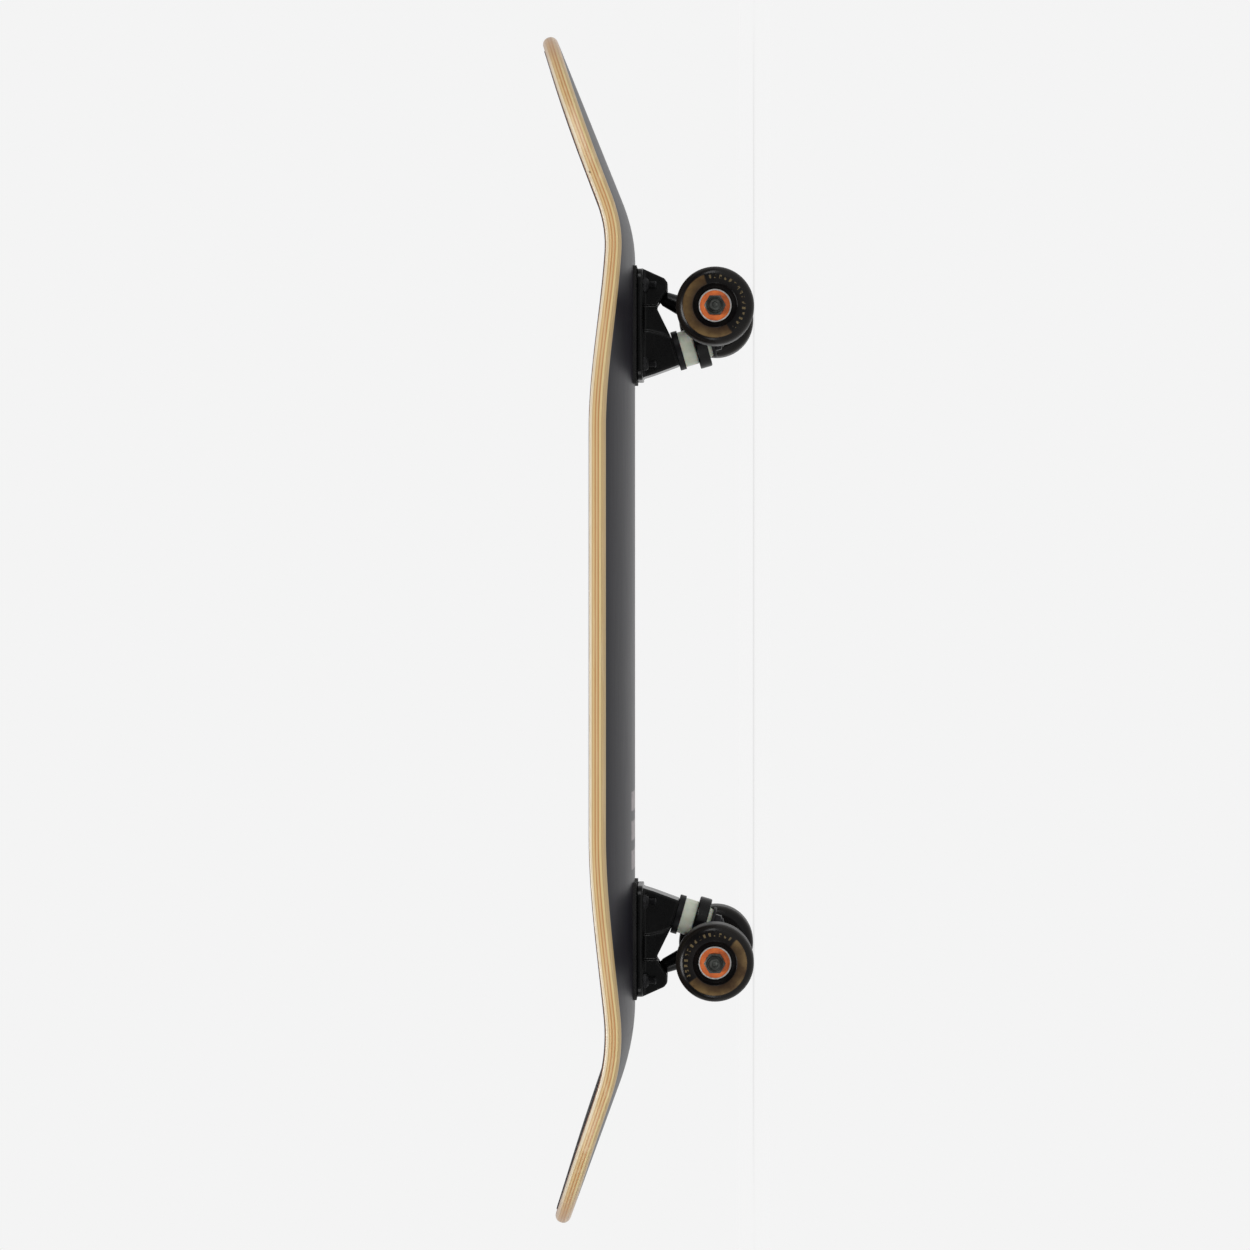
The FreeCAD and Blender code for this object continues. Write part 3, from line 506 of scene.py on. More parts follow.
def lathe(profile, segments=96):
    """Points and faces of a closed profile turned about Z; it runs with its metal on the left.

    Each row of it is a radius and a height, or a function that gives them for a turn."""
    points, faces, lines = [], [], []
    for row in profile:
        turns = [2 * pi * n / segments for n in range(segments)]
        spots = [(turn, *(row(turn) if callable(row) else row)) for turn in turns]
        first = len(points)
        if spots[0][1] < 1e-9:
            lines.append([first] * segments)
            points.append((0, 0, spots[0][2]))
        else:
            lines.append(range(first, first + segments))
            points += [(radius * cos(turn), radius * sin(turn), height) for turn, radius, height in spots]
    for number, line in enumerate(lines):
        faces += strip(line, lines[(number + 1) % len(lines)])
    return points, faces


def merged(parts):
    """Several (points, faces) as one."""
    points, faces = [], []
    for more_points, more_faces in parts:
        shift = len(points)
        points += more_points
        faces += [tuple(index + shift for index in face) for face in more_faces]
    return points, faces


def moved(part, place):
    points, faces = part
    return [tuple(place @ Vector(point)) for point in points], faces


def mirrored(half):
    """A closed profile from its upper half, with the same half upside down before it."""
    return [(radius, -height) for radius, height in half] + half[::-1]


def thread(radius, cut, start, pitch, count):
    """The crests and roots of a thread's profile."""
    return [spot for level in (start + n * pitch for n in range(count))
            for spot in ((radius, level), (radius - cut, level + pitch / 2))]


def hexagon(flats, turn):
    """Distance from the centre to the side of a hexagon."""
    return flats / 2 / cos((turn + pi / 6) % (pi / 3) - pi / 6)


def hexagon_nut(flats, height, bore, collar=0.0, segments=72):
    """Lock nut standing on z = 0: chamfered hexagon, then a round collar that holds a nylon ring."""
    corner = flats / sqrt(3)

    def side(turn, level, round_at, up):
        """A spot on the hexagon, moved along Z by the chamfer where the corner is past a radius."""
        reach = min(corner, hexagon(flats, turn))
        return reach, level + up * max(0.0, (reach - flats * round_at) * tan(radians(30)))

    top = height - collar
    rows = [(bore, 0.0), (flats * 0.47, 0.0), lambda turn: side(turn, 0.0, 0.47, 1),
            lambda turn: side(turn, top, 0.49, -1), (flats * 0.485, top)]
    if collar:
        rows += [(flats * 0.43, top), (flats * 0.41, height - 0.3 * collar), (flats * 0.37, height)]
    rows += [(bore + 0.4 * MM, height), (bore, height - 0.4 * MM)]
    return lathe(rows, segments)


# ---------------- geometry nodes

def node_group(name, inputs):
    """A geometry node tree with named inputs; returns it and their sockets inside it."""
    tree = bpy.data.node_groups.new(name, "GeometryNodeTree")
    tree.interface.new_socket("Geometry", in_out="OUTPUT", socket_type="NodeSocketGeometry")
    for label, kind in inputs.items():
        tree.interface.new_socket(label, in_out="INPUT", socket_type=f"NodeSocket{kind}")
    return tree, add(tree, "NodeGroupInput", {})


def ended(tree, shape, finish):
    """Ends a tree: makes its instances real and gives them the finish."""
    real = add(tree, "GeometryNodeRealizeInstances", {0: shape})
    painted = add(tree, "GeometryNodeSetMaterial", {0: real[0], "Material": finish})
    add(tree, "NodeGroupOutput", {0: painted[0]})
    return tree


def at_corners_tree():
    """One piece at each corner of a rectangle."""
    tree, given = node_group("at_corners", {
        "Piece": "Object", "Length": "Float", "Width": "Float", "Finish": "Material"})
    grid = add(tree, "GeometryNodeMeshGrid", {
        "Size X": given["Length"], "Size Y": given["Width"], "Vertices X": 2, "Vertices Y": 2})
    source = add(tree, "GeometryNodeObjectInfo", {"Object": given["Piece"], "As Instance": True})
    spread = add(tree, "GeometryNodeInstanceOnPoints", {
        "Points": grid["Mesh"], "Instance": source["Geometry"]})
    return ended(tree, spread[0], given["Finish"])


def in_circle_tree():
    """Balls evenly round a circle."""
    tree, given = node_group("in_circle", {
        "Count": "Int", "Pitch Radius": "Float", "Ball Radius": "Float", "Finish": "Material"})
    ring = add(tree, "GeometryNodeMeshCircle", {
        "Vertices": given["Count"], "Radius": given["Pitch Radius"]})
    ball = add(tree, "GeometryNodeMeshUVSphere", {
        "Radius": given["Ball Radius"], "Segments": 20, "Rings": 12})
    spread = add(tree, "GeometryNodeInstanceOnPoints", {"Points": ring["Mesh"], "Instance": ball["Mesh"]})
    return ended(tree, spread[0], given["Finish"])


def turned_tree():
    """A closed profile swept round a circle; its X runs outward from the circle, and its Y down."""
    tree, given = node_group("turned", {
        "Profile": "Geometry", "Path Radius": "Float", "Steps": "Int", "Finish": "Material"})
    profile = add(tree, "GeometryNodeMeshToCurve", {0: given["Profile"]})
    path = add(tree, "GeometryNodeCurvePrimitiveCircle", {
        "Radius": given["Path Radius"], "Resolution": given["Steps"]})
    sweep = add(tree, "GeometryNodeCurveToMesh", {"Curve": path["Curve"], "Profile Curve": profile[0]})
    return ended(tree, sweep[0], given["Finish"])


def grown(tree, values, start=None):
    """Runs a tree on a mesh, or on nothing, with its inputs set; returns the result as a plain mesh."""
    carrier = linked("carrier", start or bpy.data.meshes.new("carrier"))
    modifier = carrier.modifiers.new("grow", "NODES")
    modifier.node_group = tree
    for item in tree.interface.items_tree:
        if item.in_out == "INPUT" and item.name in values:
            modifier[item.identifier] = values[item.name]
    carrier.update_tag()
    return baked(carrier)


AT_CORNERS = at_corners_tree()
IN_CIRCLE = in_circle_tree()
TURNED = turned_tree()


def turned(profile, steps, finish):
    """A closed profile, which runs with its metal on the left, turned about Z by the tree."""
    path = sum(radius for radius, _ in profile) / len(profile)
    line = bpy.data.meshes.new("profile")
    line.from_pydata([(radius - path, -height, 0) for radius, height in reversed(profile)],
                     loop(len(profile)), [])
    return grown(TURNED, {"Path Radius": path, "Steps": steps, "Finish": finish}, line)


# ---------------- deck

DECK_LENGTH, DECK_WIDTH, END_LENGTH = 812.2 * MM, 203.0 * MM, 131.0 * MM
WOOD, GRIP = 10.4 * MM, 0.8 * MM
BELLY, FLAT = 81.4 * MM, 8.0 * MM
CONCAVE_MIDDLE = 18.2 * MM
CONCAVE_FULL_X = 135.0 * MM
# The nose is 1 and the tail is -1: where each kick starts, its bend's radius and its slope;
# then the rise of the board's sides at the tip, and where they come down to it.
KICKS = {1: (252.0 * MM, 105.0 * MM, radians(22.0)), -1: (255.0 * MM, 150.0 * MM, radians(20.0))}
KICK_CONCAVE = {1: (6.2 * MM, 275.0 * MM), -1: (3.6 * MM, 320.0 * MM)}
HOLE_PITCH_X, HOLE_PITCH_Y, PLATE_OFFSET = 53.8 * MM, 41.3 * MM, 8.4 * MM
HOLE_RADIUS, HOLE_STEPS = 4.85 * MM, 32
OUTLINE_STEP, GRID_STEP = 4 * MM, 6 * MM
EDGE_ROUND, TOP_ROUND, TIP_ROUND, TIP_REACH = 3.4 * MM, 1.8 * MM, 4.8 * MM, 1.3 * MM


def eased(value):
    """A smooth step from 0 to 1 as a value goes from 0 to 1."""
    share = min(max(value, 0.0), 1.0)
    return share * share * (3 - 2 * share)


def deck_height(x, y, depth):
    """Height of the pressed board's surface at a depth measured up from the belly."""
    start, radius, lean = KICKS[1 if x > 0 else -1]
    low_rise, concave_end = KICK_CONCAVE[1 if x > 0 else -1]
    past, inner = abs(x) - start, radius - depth
    if past <= 0:
        height = BELLY + depth
    elif past <= inner * sin(lean):
        height = BELLY + radius - sqrt(inner ** 2 - past ** 2)
    else:
        height = BELLY + radius - inner * cos(lean) + (past - inner * sin(lean)) * tan(lean)
    share = eased((concave_end - abs(x)) / (concave_end - CONCAVE_FULL_X))
    rise = low_rise + (CONCAVE_MIDDLE - low_rise) * share
    wing = DECK_WIDTH / 2 - FLAT
    over = max(0.0, abs(y) - FLAT)
    bend = (wing ** 2 + rise ** 2) / (2 * rise)
    return height + bend - sqrt(bend ** 2 - over ** 2)


def deck_outline():
    """Points round the deck, each with its outward direction."""
    side = DECK_LENGTH / 2 - END_LENGTH
    half = DECK_WIDTH / 2
    along = round(2 * side / OUTLINE_STEP)
    round_end = round(END_LENGTH * 2.6 / OUTLINE_STEP)
    outline = [(Vector((-side + 2 * side * n / along, -half)), Vector((0, -1))) for n in range(along)]
    for sign in (1, -1):
        for n in range(round_end):
            turn = -pi / 2 + pi * n / round_end
            point = Vector((END_LENGTH * cos(turn), half * sin(turn)))
            normal = Vector((cos(turn) / END_LENGTH, sin(turn) / half)).normalized()
            outline.append(((Vector((side, 0)) + point) * sign, normal * sign))
        if sign > 0:
            outline += [(Vector((side - 2 * side * n / along, half)), Vector((0, 1))) for n in range(along)]
    return outline


def filled(ring, margin, holes):
    """Triangles over the inside of a ring: its corners, then a grid of points; holes are (centre, radius)."""
    points = [Vector(point) for point in ring]
    edges = loop(len(ring))
    hole_rings = []
    for centre, radius in holes:
        first = len(points)
        points += [centre + Vector(spot) for spot in circle(radius, HOLE_STEPS)]
        hole_rings.append(list(range(first, first + HOLE_STEPS)))
        edges += loop(HOLE_STEPS, first)
    half = DECK_WIDTH / 2 - margin
    side = DECK_LENGTH / 2 - END_LENGTH
    x = -DECK_LENGTH / 2
    while x < DECK_LENGTH / 2:
        past = max(0.0, abs(x) - side) / (END_LENGTH - margin)
        width = half * sqrt(max(0.0, 1 - past ** 2)) - 0.5 * GRID_STEP
        rows = max(1, round(2 * width / GRID_STEP))
        if width > 0:
            for n in range(rows + 1):
                spot = Vector((x, -width + 2 * width * n / rows))
                if all((spot - centre).length > radius + 2 * MM for centre, radius in holes):
                    points.append(spot)
        x += GRID_STEP
    made = delaunay_2d_cdt(points, edges, [], 1, 1e-7)
    flat, faces = made[0], made[2]
    kept = []
    for face in faces:
        middle = sum((flat[index] for index in face), Vector((0, 0))) / len(face)
        if all((middle - centre).length > radius * 0.98 for centre, radius in holes):
            kept.append(tuple(face))
    return flat, kept, hole_rings


def rim_ring(side, tip):
    """One line round the board from (inset, depth) at the sides and at the tips: each spot and its depth.

    It steps in with depth at the tips, so that the end faces stand square to the kicks."""
    ring = []
    for spot, normal in deck_outline():
        share = eased((abs(normal.x) - 0.35) / 0.6)
        inset, depth = (low + (high - low) * share for low, high in zip(side, tip))
        at = spot - normal * inset
        at.x -= normal.x * (depth * sin(KICKS[1 if spot.x > 0 else -1][2]) - TIP_REACH)
        ring.append((at, depth))
    return ring


def rim_surface(name, rim, finishes, bottom_finish, holes=()):
    """A closed sheet of the board; rim is pairs of (inset, depth), at sides and tips, from below up."""
    rings = [rim_ring(*line) for line in rim]
    count = len(rings[0])
    points, depths, faces = [], [], []
    for ring in rings:
        points += [(at.x, at.y, deck_height(at.x, at.y, depth)) for at, depth in ring]
        depths += [depth for _, depth in ring]
    lines = [range(row * count, (row + 1) * count) for row in range(len(rim))]
    for line, above in zip(lines, lines[1:]):
        faces += strip(line, above)
    kinds = [0] * len(faces)
    cut_rings = []
    for row, kind, flip in ((0, bottom_finish, True), (len(rim) - 1, 0, False)):
        (inset, depth), (tip_inset, _) = rim[row]
        ring = [at for at, _ in rings[row]]
        flat, inside, hole_rings = filled(ring, max(inset, tip_inset) + 5 * MM, holes)
        shift = len(points)
        index = {n: row * count + n for n in range(count)}
        for n, at in enumerate(flat):
            if n >= count:
                index[n] = shift + n - count
                points.append((at.x, at.y, deck_height(at.x, at.y, depth)))
                depths.append(depth)
        faces += [[index[n] for n in (reversed(face) if flip else face)] for face in inside]
        kinds += [kind] * len(inside)
        cut_rings.append([[index[n] for n in hole] for hole in hole_rings])
    for lower, upper in zip(*cut_rings):
        faces += strip(upper, lower)
    kinds += [0] * (len(faces) - len(kinds))
    mesh = bpy.data.meshes.new(name)
    mesh.from_pydata(points, [], faces)
    kept = mesh.attributes.new("depth", "FLOAT", "POINT")
    kept.data.foreach_set("value", [depth / WOOD for depth in depths])
    mesh.update()
    piece = finished(name, mesh, finishes, smooth=radians(60))
    piece.data.polygons.foreach_set("material_index", kinds)
    return piece


def deck():
    """The pressed board, its edges rounded above and below."""
    turns = [radians(90 * n / 8) for n in range(9)]

    def profile(low, high):
        return ([(low * (1 - sin(turn)), low * (1 - cos(turn))) for turn in turns]
                + [(0.0, low + (WOOD - high - low) * n / 4) for n in range(1, 4)]
                + [(high * (1 - cos(turn)), WOOD - high * (1 - sin(turn))) for turn in turns])

    rim = list(zip(profile(EDGE_ROUND, TOP_ROUND), profile(TIP_ROUND, TIP_ROUND)))
    piece = rim_surface("deck_board", rim, [FINISH["maple"], FINISH["belly"]], 1)
    belongs(piece, "board", "deck")


def mounting_spots(end):
    """The four bolt positions of a truck, seen from above."""
    axle = axle_x(end)
    middle = axle - (PLATE_OFFSET if axle > 0 else -PLATE_OFFSET)
    return [Vector((middle + step_x * HOLE_PITCH_X / 2, step_y * HOLE_PITCH_Y / 2))
            for step_x in (-1, 1) for step_y in (-1, 1)]


def griptape():
    """The sheet on top, cut a little inside the board's edge and holed for the bolts."""
    steps = ((3.0, 0.0), (0.0, -0.06), (0.0, 0.55), (0.3, 0.8), (1.0, 0.95), (4.0, 1.0))
    rim = [[((start + step) * MM, WOOD + GRIP * rise) for start in (2.2, 7.0)] for step, rise in steps]
    holes = [(spot, HOLE_RADIUS) for end in ENDS for spot in mounting_spots(end)]
    piece = rim_surface("griptape_sheet", rim, [FINISH["grip"]], 0, holes)
    belongs(piece, "board", "griptape")


# ---------------- trucks

AXLE_Z = JOINTS["front_left_wheel_spin"]["pos_m"][2]
RING, KINGPIN_LEAN = Vector((-21.0 * MM, 0, 36.4 * MM)), radians(16)
DECK_TOP = BELLY + WOOD + GRIP
FLANGE_BOTTOM = 75.4 * MM
SEAT, TOP_SEAT, WASHER_FLOOR = 17.8 * MM, -7.2 * MM, 1.6 * MM
RING_HALF, RECESS = 4.2 * MM, 1.5 * MM
UPSIDE_DOWN = Matrix.Rotation(pi, 4, "X")


def truck_place(end):
    """On the ground under the axle's middle, with X to the board's nearer tip."""
    axle = axle_x(end)
    return Matrix.Translation((axle, 0, 0)) @ Matrix.Rotation(0 if axle > 0 else pi, 4, "Z")


def along_z(distance):
    return Matrix.Translation((0, 0, distance))


def kingpin_place(end, height=0.0):
    """At the hanger's ring, or a height from it along the leaning kingpin."""
    lean = Matrix.Translation(RING) @ Matrix.Rotation(-KINGPIN_LEAN, 4, "Y")
    return truck_place(end) @ lean @ along_z(height)


def axle_line(end, side):
    """From the board's middle plane out to one side: z runs out along the axle."""
    turn = -pi / 2 if side == "left" else pi / 2
    return Matrix.Translation((axle_x(end), 0, AXLE_Z)) @ Matrix.Rotation(turn, 4, "X")


def smoothed_casting(node, body, voxel, passes):
    """The design's casting with its edges softened as a die casting's are."""
    mesh = frame["nodes"][node].data.copy()
    work = bmesh.new()
    work.from_mesh(mesh)
    bmesh.ops.remove_doubles(work, verts=work.verts, dist=1e-6)
    work.to_mesh(mesh)
    work.free()
    carrier = linked("carrier", mesh)
    remesh = carrier.modifiers.new("remesh", "REMESH")
    remesh.mode = "VOXEL"
    remesh.voxel_size = voxel
    soften = carrier.modifiers.new("soften", "SMOOTH")
    soften.factor = 0.5
    soften.iterations = passes
    piece = finished(node + "_casting", baked(carrier), [FINISH["casting"]], smooth=pi)
    belongs(piece, body, node)


def carried(node, finish):
    """Gives a design node that is shown as it is its finish."""
    mesh = frame["nodes"][node].data
    mesh.materials.clear()
    mesh.materials.append(FINISH[finish])


def small_piece(name, part, finish, body, node, place):
    """A piece with one finish, in its place."""
    belongs(new_piece(name, *part, [FINISH[finish]], place), body, node)


def cup_washer(radius, lip):
    """Cupped washer, open downward, its flat back at z = 0."""
    floor, wall, bore = WASHER_FLOOR, 0.7 * MM, 4.86 * MM
    corners = [(bore, -floor), (radius - wall, -floor), (radius - wall, -floor - lip),
               (radius, -floor - lip), (radius, 0), (bore, 0)]
    return lathe(rounded(corners, [0.15 * MM, 0.2 * MM, 0.25 * MM, 0.25 * MM, 0.6 * MM, 0.15 * MM], 4), 80)


def mounting_bolt():
    """Countersunk head with a hexagon socket, top at z = 0."""
    head, shank, length = 4.55 * MM, 2.38 * MM, 26.4 * MM
    socket, socket_depth, count = 3.2 * MM, 2.0 * MM, 48
    profile = [(0, -length), (shank - 0.6 * MM, -length), (shank, -length + 0.6 * MM),
               *thread(shank, 0.32 * MM, -length + 1.2 * MM, 0.8 * MM, 14),
               (shank, -length + 13 * MM), (shank, -2.8 * MM), (head, -0.35 * MM),
               (head - 0.1 * MM, -0.02 * MM), (socket * 0.675, 0)]
    points, faces = lathe(profile, count)
    first = len(points) - count
    faces = [face for face in faces if max(face) < first or min(face) >= count]
    upper = len(points)
    lower, bottom = upper + count, upper + 2 * count
    for level in (0.0, -socket_depth):
        for n in range(count):
            turn = 2 * pi * n / count
            reach = hexagon(socket, turn)
            points.append((reach * cos(turn), reach * sin(turn), level))
    points.append((0, 0, -socket_depth - 0.4 * MM))
    rings = [range(start, start + count) for start in (first, upper, lower)] + [[bottom] * count]
    for ring, inner in zip(rings, rings[1:]):
        faces += strip(ring, inner)
    return points, faces


def four_at_corners(end, kind, part, place):
    """The four bolts or nuts at a truck's mounting holes, as one mesh."""
    steel = FINISH["black_steel"]
    pattern = new_piece("pattern", *part, [steel])
    mesh = grown(AT_CORNERS, {"Piece": pattern, "Length": HOLE_PITCH_X, "Width": HOLE_PITCH_Y,
                              "Finish": steel})
    bpy.data.objects.remove(pattern)
    piece = finished(f"{end}_{kind}", mesh, [steel], place)
    belongs(piece, "board", f"{end}_mounting_{kind}")


def bushings(end):
    """The two urethane bushings, each held by its washer and squeezed by the hanger's ring."""
    top = SEAT - WASHER_FLOOR
    bore = 4.81 * MM
    barrel = [(bore, RECESS), (10.3 * MM, RECESS), (10.3 * MM, RING_HALF + 0.05 * MM),
              (12.2 * MM, RING_HALF + 0.05 * MM), (12.3 * MM, RING_HALF + 5 * MM), (12.2 * MM, top),
              (bore, top)]
    cone = [(bore, TOP_SEAT), (9.4 * MM, TOP_SEAT), (10.3 * MM, -RING_HALF - 0.6 * MM),
            (10.3 * MM, -RECESS), (bore, -RECESS)]
    middle = kingpin_place(end)
    for kind, profile, washer_end, ring_end, radii in (
            ("board", barrel, top, RING_HALF, [0.2, 0.2, 0, 0.6, 0, 0.6, 0.2]),
            ("road", cone, TOP_SEAT, -RING_HALF, [0.2, 0.6, 0.3, 0.2, 0.2])):
        part = lathe(rounded(profile, [radius * MM for radius in radii]), 80)
        piece = new_piece(f"{end}_{kind}_bushing_urethane", *part, [FINISH["bushing"]], middle)
        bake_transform(piece)
        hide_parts(f"{end}_{kind}_bushing")


def kingpin(end):
    """Kingpin with its head in the baseplate, its lock nut and the two cup washers."""
    radius, low, head, flats = 4.74 * MM, -15.9 * MM, 35.5 * MM, 14.2 * MM
    profile = [(0, low), (radius - 0.8 * MM, low), (radius, low + 0.8 * MM),
               *thread(radius, 0.35 * MM, low + 1.4 * MM, 0.9 * MM, 10),
               (radius, low + 11 * MM), (radius, head), (0, head)]
    cap = moved(hexagon_nut(flats, 6.2 * MM, 0.4 * MM), along_z(head))
    nut = hexagon_nut(flats, 6.4 * MM, radius, collar=1.8 * MM)
    under = kingpin_place(end, TOP_SEAT - WASHER_FLOOR) @ UPSIDE_DOWN
    for name, part, node, place in (
            ("kingpin_bolt", merged([lathe(profile, 56), cap]), "kingpin", kingpin_place(end)),
            ("kingpin_lock_nut", nut, "kingpin_nut", under),
            ("lower_cup", cup_washer(13.6 * MM, 2.8 * MM), "lower_cup_washer", kingpin_place(end, SEAT)),
            ("top_cup", cup_washer(11.6 * MM, 0.5 * MM), "top_cup_washer", under)):
        small_piece(f"{end}_{name}", part, "black_steel", "board", f"{end}_{node}", place)


def mounting(end):
    """The four bolts and nuts that hold a truck, with its riser pad and pivot cup."""
    middle = truck_place(end) @ Matrix.Translation((-PLATE_OFFSET, 0, 0))
    nut = hexagon_nut(9.45 * MM, 3.9 * MM, 2.38 * MM, collar=1.2 * MM, segments=48)
    four_at_corners(end, "bolts", mounting_bolt(), middle @ along_z(DECK_TOP))
    four_at_corners(end, "nuts", nut, middle @ along_z(FLANGE_BOTTOM) @ UPSIDE_DOWN)
    carried(f"{end}_riser_pad", "rubber")
    carried(f"{end}_pivot_cup", "rubber")


# ---------------- wheels and bearings

WHEEL_OUT, WHEEL_HALF, WHEEL_RADIUS = 79.7 * MM, 15.5 * MM, 26 * MM
BEARING_HALF, SPACER_HALF = 3.5 * MM, 5 * MM
BEARING_OUT = SPACER_HALF + BEARING_HALF
BEARING_BORE, WASHER = 4.0 * MM, 1.0 * MM
AXLE_RADIUS, AXLE_REACH = 3.97 * MM, 101.5 * MM
PRINT_TURN = {"front": radians(116), "rear": radians(222)}
LEFT_PRINT_SHIFT = 2.1


def wheel(end, side):
    """Tyre and core in one, with the bearing seats open to both faces."""
    half = [(9.2 * MM, SPACER_HALF), (11 * MM, SPACER_HALF), (11 * MM, SPACER_HALF + 7.5 * MM),
            (12.6 * MM, WHEEL_HALF - 2.0 * MM), (13.2 * MM, WHEEL_HALF - 1.6 * MM), (14.8 * MM, WHEEL_HALF),
            (WHEEL_RADIUS, WHEEL_HALF)]
    sizes = [0.1, 0.1, 0.4, 0.4, 0.4, 0.7, 6.0]
    radii = [size * MM for size in sizes + sizes[::-1]]
    finish = wheel_urethane(PRINT_TURN[end] + (LEFT_PRINT_SHIFT if side == "left" else 0))
    tyre = turned(rounded(mirrored(half), radii, 10), 144, finish)
    place = axle_line(end, side) @ along_z(WHEEL_OUT)
    name = f"{end}_{side}"
    piece = finished(f"{name}_tyre", tyre, [finish], place, smooth=radians(40))
    belongs(piece, f"{name}_rolling_wheel", f"{name}_wheel")


def ring_of(inner, outer, low, high, round_by=0.25 * MM, segments=96):
    """A plain ring with its edges rounded."""
    return lathe(rounded([(inner, low), (outer, low), (outer, high), (inner, high)], round_by, 3), segments)


def bearings(end, side):
    """The parts of a wheel's two bearings that roll: races, shields, balls and their retainers."""
    name = f"{end}_{side}"
    line = axle_line(end, side) @ along_z(WHEEL_OUT)
    spots = [along_z(sign * BEARING_OUT) for sign in (-1, 1)]
    step = BEARING_HALF - 0.75 * MM
    half = [(9.3 * MM, step), (10 * MM, step), (10 * MM, BEARING_HALF), (10.98 * MM, BEARING_HALF)]
    outer = lathe(rounded(mirrored(half), 0.12 * MM, 3))
    small_piece(f"{name}_outer_races", merged([moved(outer, spot) for spot in spots]), "steel",
                f"{name}_rolling_wheel", f"{name}_bearing_outer_races", line)
    edge, depth = BEARING_HALF - 0.25 * MM, 0.5 * MM
    face = [(6.45 * MM, edge - depth), (9.98 * MM, edge - depth), (9.98 * MM, edge), (9.3 * MM, edge),
            (9.1 * MM, edge - 0.16 * MM), (7.2 * MM, edge - 0.16 * MM), (7.0 * MM, edge - 0.02 * MM),
            (6.45 * MM, edge - 0.02 * MM)]
    cover = lathe(rounded(face, 0.06 * MM, 2))
    covers = [moved(cover, spot @ turn) for spot in spots for turn in (Matrix(), UPSIDE_DOWN)]
    small_piece(f"{name}_shields", merged(covers), "shield", f"{name}_rolling_wheel",
                f"{name}_bearing_shields", line)
    ring = grown(IN_CIRCLE, {"Count": 7, "Pitch Radius": 7.5 * MM, "Ball Radius": 1.98 * MM,
                             "Finish": FINISH["steel"]})
    work = bmesh.new()
    for spot in spots:
        ring.transform(spot)
        work.from_mesh(ring)
        ring.transform(spot.inverted())
    balls = bpy.data.meshes.new("balls")
    work.to_mesh(balls)
    work.free()
    piece = finished(f"{name}_balls", balls, [FINISH["steel"]], line, smooth=pi)
    belongs(piece, f"{name}_ball_cages", f"{name}_bearing_balls")
    carried(f"{name}_ball_retainers", "nylon")


def axle(end):
    """Threaded axle, its nuts and washers, and the parts of the bearings that stand still."""
    both = [axle_line(end, side) for side in SIDES]
    tip = AXLE_REACH - 0.1 * MM
    profile = [(0, 0), (AXLE_RADIUS, 0),
               *thread(AXLE_RADIUS, 0.38 * MM, AXLE_REACH - 10.9 * MM, 0.9 * MM, 11),
               (AXLE_RADIUS, AXLE_REACH - 1.0 * MM), (AXLE_RADIUS - 0.8 * MM, tip), (2.1 * MM, tip),
               (1.7 * MM, tip - 1.5 * MM), (0, tip - 2.0 * MM)]
    washer = ring_of(BEARING_BORE, 6.0 * MM, 0, WASHER, 0.15 * MM, 64)
    race = ring_of(BEARING_BORE, 6.05 * MM, -BEARING_HALF, BEARING_HALF)
    spacer = ring_of(BEARING_BORE, 5.4 * MM, -SPACER_HALF, SPACER_HALF)
    nut = hexagon_nut(12.6 * MM, 7.0 * MM, AXLE_RADIUS, collar=2.0 * MM)
    near, far = WHEEL_OUT - BEARING_OUT, WHEEL_OUT + BEARING_OUT
    inner, outer = near - BEARING_HALF - WASHER, far + BEARING_HALF
    for name, part, outs, finish, node, slot in (
            ("axle_rod", lathe(profile, 64), (0,), "axle", "axle", "steel"),
            ("washers", washer, (inner, outer), "steel", "speed_washers", "steel"),
            ("axle_lock_nuts", nut, (outer + WASHER,), "axle", "axle_nuts", "black_steel"),
            ("inner_races", race, (near, far), "steel", "bearing_inner_races", "steel"),
            ("spacers", spacer, (WHEEL_OUT,), "steel", "bearing_spacers", "steel")):
        parts = [moved(part, line @ along_z(out)) for line in both for out in outs]
        small_piece(f"{end}_{name}", merged(parts), finish, f"{end}_truck", f"{end}_{node}", Matrix())


# ---------------- the object

deck()
griptape()
for end in ENDS:
    smoothed_casting(f"{end}_baseplate", "board", 0.6 * MM, 3)
    smoothed_casting(f"{end}_hanger", f"{end}_truck", 0.65 * MM, 4)
    mounting(end)
    kingpin(end)
    bushings(end)
    axle(end)
    for side in SIDES:
        wheel(end, side)
        bearings(end, side)


# ---------------- floor, light and camera

FLOOR_GLOW, FLOOR_HALF, FLOOR_DROP = 0.735, 40.0, 0.2 * MM
SUNS = (
    ("key", 2.1, 25, (0.15, 0.85, -0.85)), ("nose_fill", 1.5, 30, (-0.95, 0.85, 0.05)),
    ("tail_fill", 1.2, 30, (0.95, 0.85, 0.1)), ("low_fill", 0.4, 30, (0.0, 0.85, 0.85)),
)
CAMERA_AT, CAMERA_TOWARDS = (37.9 * MM, -2.988, 11.0 * MM), (-0.0114, 1.0, 0.0258)
SENSOR_WIDTH, LENS, CLIP_START = 36.0, 125.57, 1.5


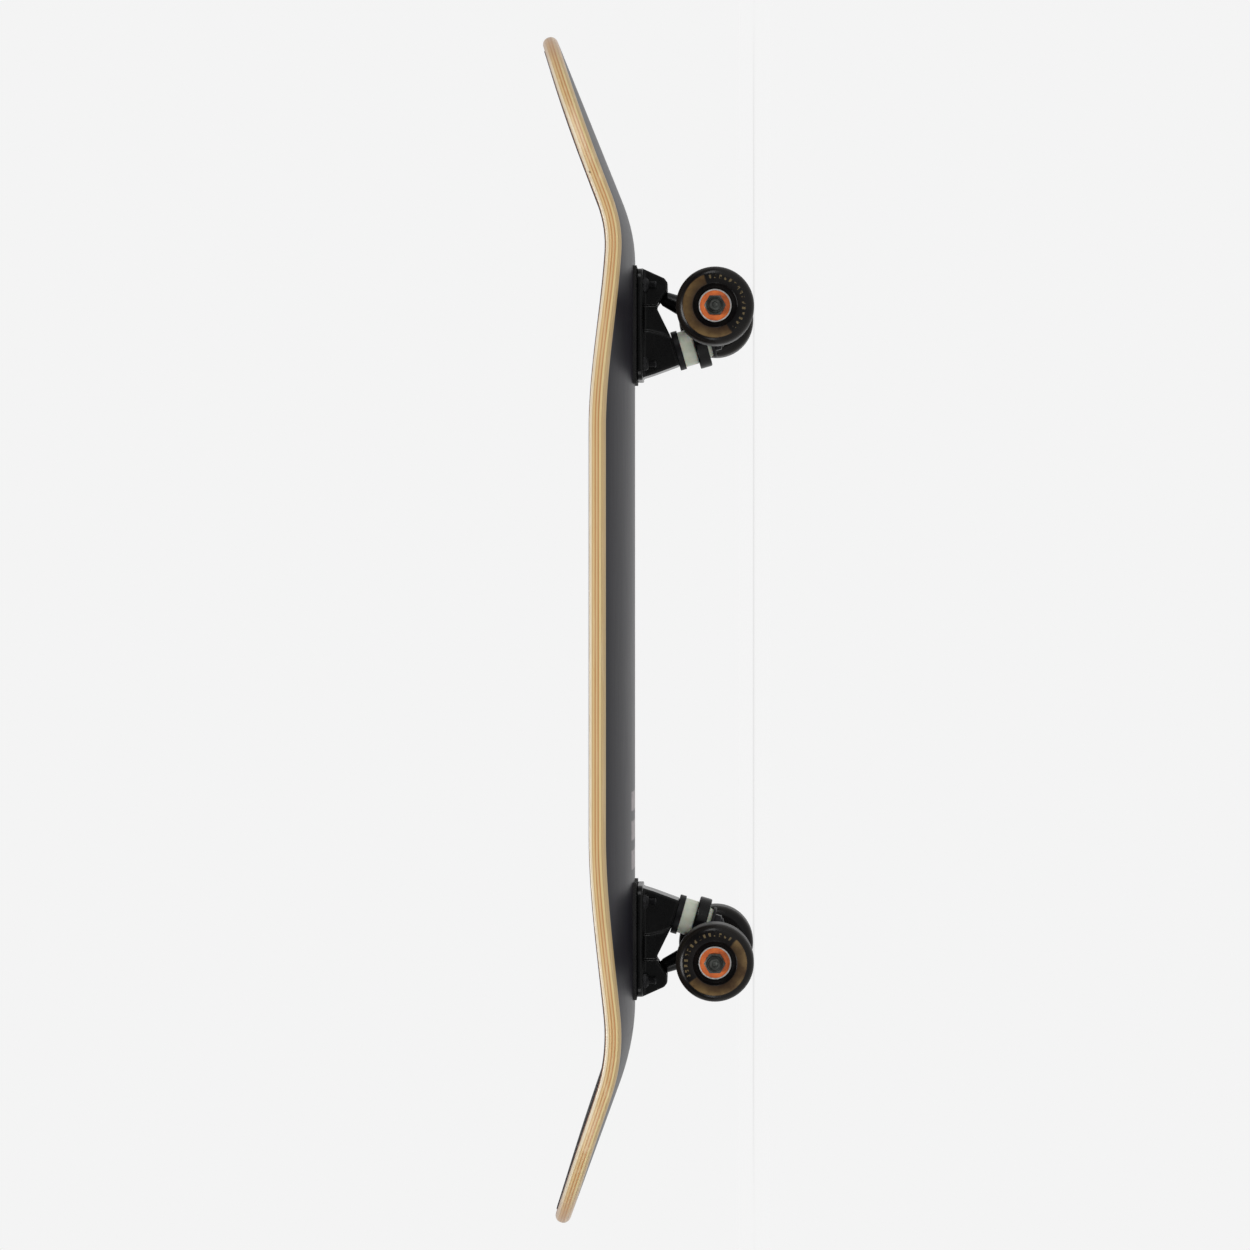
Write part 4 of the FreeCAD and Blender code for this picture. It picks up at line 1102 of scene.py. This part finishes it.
def floor():
    """A large pale floor with a faint mottle."""
    paint = Paint("floor", Roughness=0.9, Specular_IOR_Level=0.0, Emission_Strength=FLOOR_GLOW)
    mottle = paint.noise(paint.place(), 3.0, 4.0)
    colour = paint.mix(grey(0.195), grey(0.205), mottle)
    paint.feed(Emission_Color=paint.mix(grey(0.995), grey(1.0), mottle))
    points = [(x * FLOOR_HALF, y * FLOOR_HALF, 0) for x, y in ((-1, -1), (1, -1), (1, 1), (-1, 1))]
    new_piece("floor", points, [(0, 1, 2, 3)], [paint.feed(Base_Color=colour)],
                       along_z(-FLOOR_DROP))


def surroundings():
    """Pale all round to look at; it lights from beyond the board and leaves the camera's side dark."""
    world = bpy.data.worlds.new("studio")
    bpy.context.scene.world = world
    world.use_nodes = True
    tree = world.node_tree
    tree.nodes.clear()
    way = add(tree, "ShaderNodeTexCoord", {})
    parts = add(tree, "ShaderNodeSeparateXYZ", {0: way["Generated"]})
    ramp = add(tree, "ShaderNodeMapRange", {
        "Value": parts["Y"], "From Min": -0.65, "From Max": 0.45, "To Min": 0.02, "To Max": 0.85,
    }, interpolation_type="SMOOTHSTEP")
    lit = add(tree, "ShaderNodeBackground", {"Strength": ramp[0]})
    seen = add(tree, "ShaderNodeBackground", {"Color": (*grey(0.905), 1)})
    rays = add(tree, "ShaderNodeLightPath", {})
    chosen = add(tree, "ShaderNodeMixShader", {0: rays["Is Camera Ray"], 1: lit[0], 2: seen[0]})
    add(tree, "ShaderNodeOutputWorld", {0: chosen[0]})


def sun(name, strength, spread, towards):
    """A soft distant light that shines along a direction."""
    lamp = bpy.data.lights.new(name, "SUN")
    lamp.energy = strength
    lamp.angle = radians(spread)
    holder = linked(name, lamp)
    holder.rotation_mode = "QUATERNION"
    holder.rotation_quaternion = Vector(towards).to_track_quat("-Z", "Y")


def camera():
    """A little above the ground on the board's right, turned on its side so that the nose is up."""
    lens = bpy.data.cameras.new("camera")
    lens.sensor_width = SENSOR_WIDTH
    lens.lens = LENS
    lens.clip_start = CLIP_START
    holder = linked("camera", lens)
    forward = Vector(CAMERA_TOWARDS).normalized()
    up = (Vector((1, 0, 0)) - forward * forward.x).normalized()
    right = forward.cross(up)
    turn = Matrix((right, up, -forward)).transposed().to_4x4()
    holder.matrix_world = Matrix.Translation(CAMERA_AT) @ turn
    bpy.context.scene.camera = holder


floor()
surroundings()
for settings in SUNS:
    sun(*settings)
camera()
bpy.context.scene.view_settings.view_transform = "Standard"
bpy.context.scene.view_settings.look = "None"
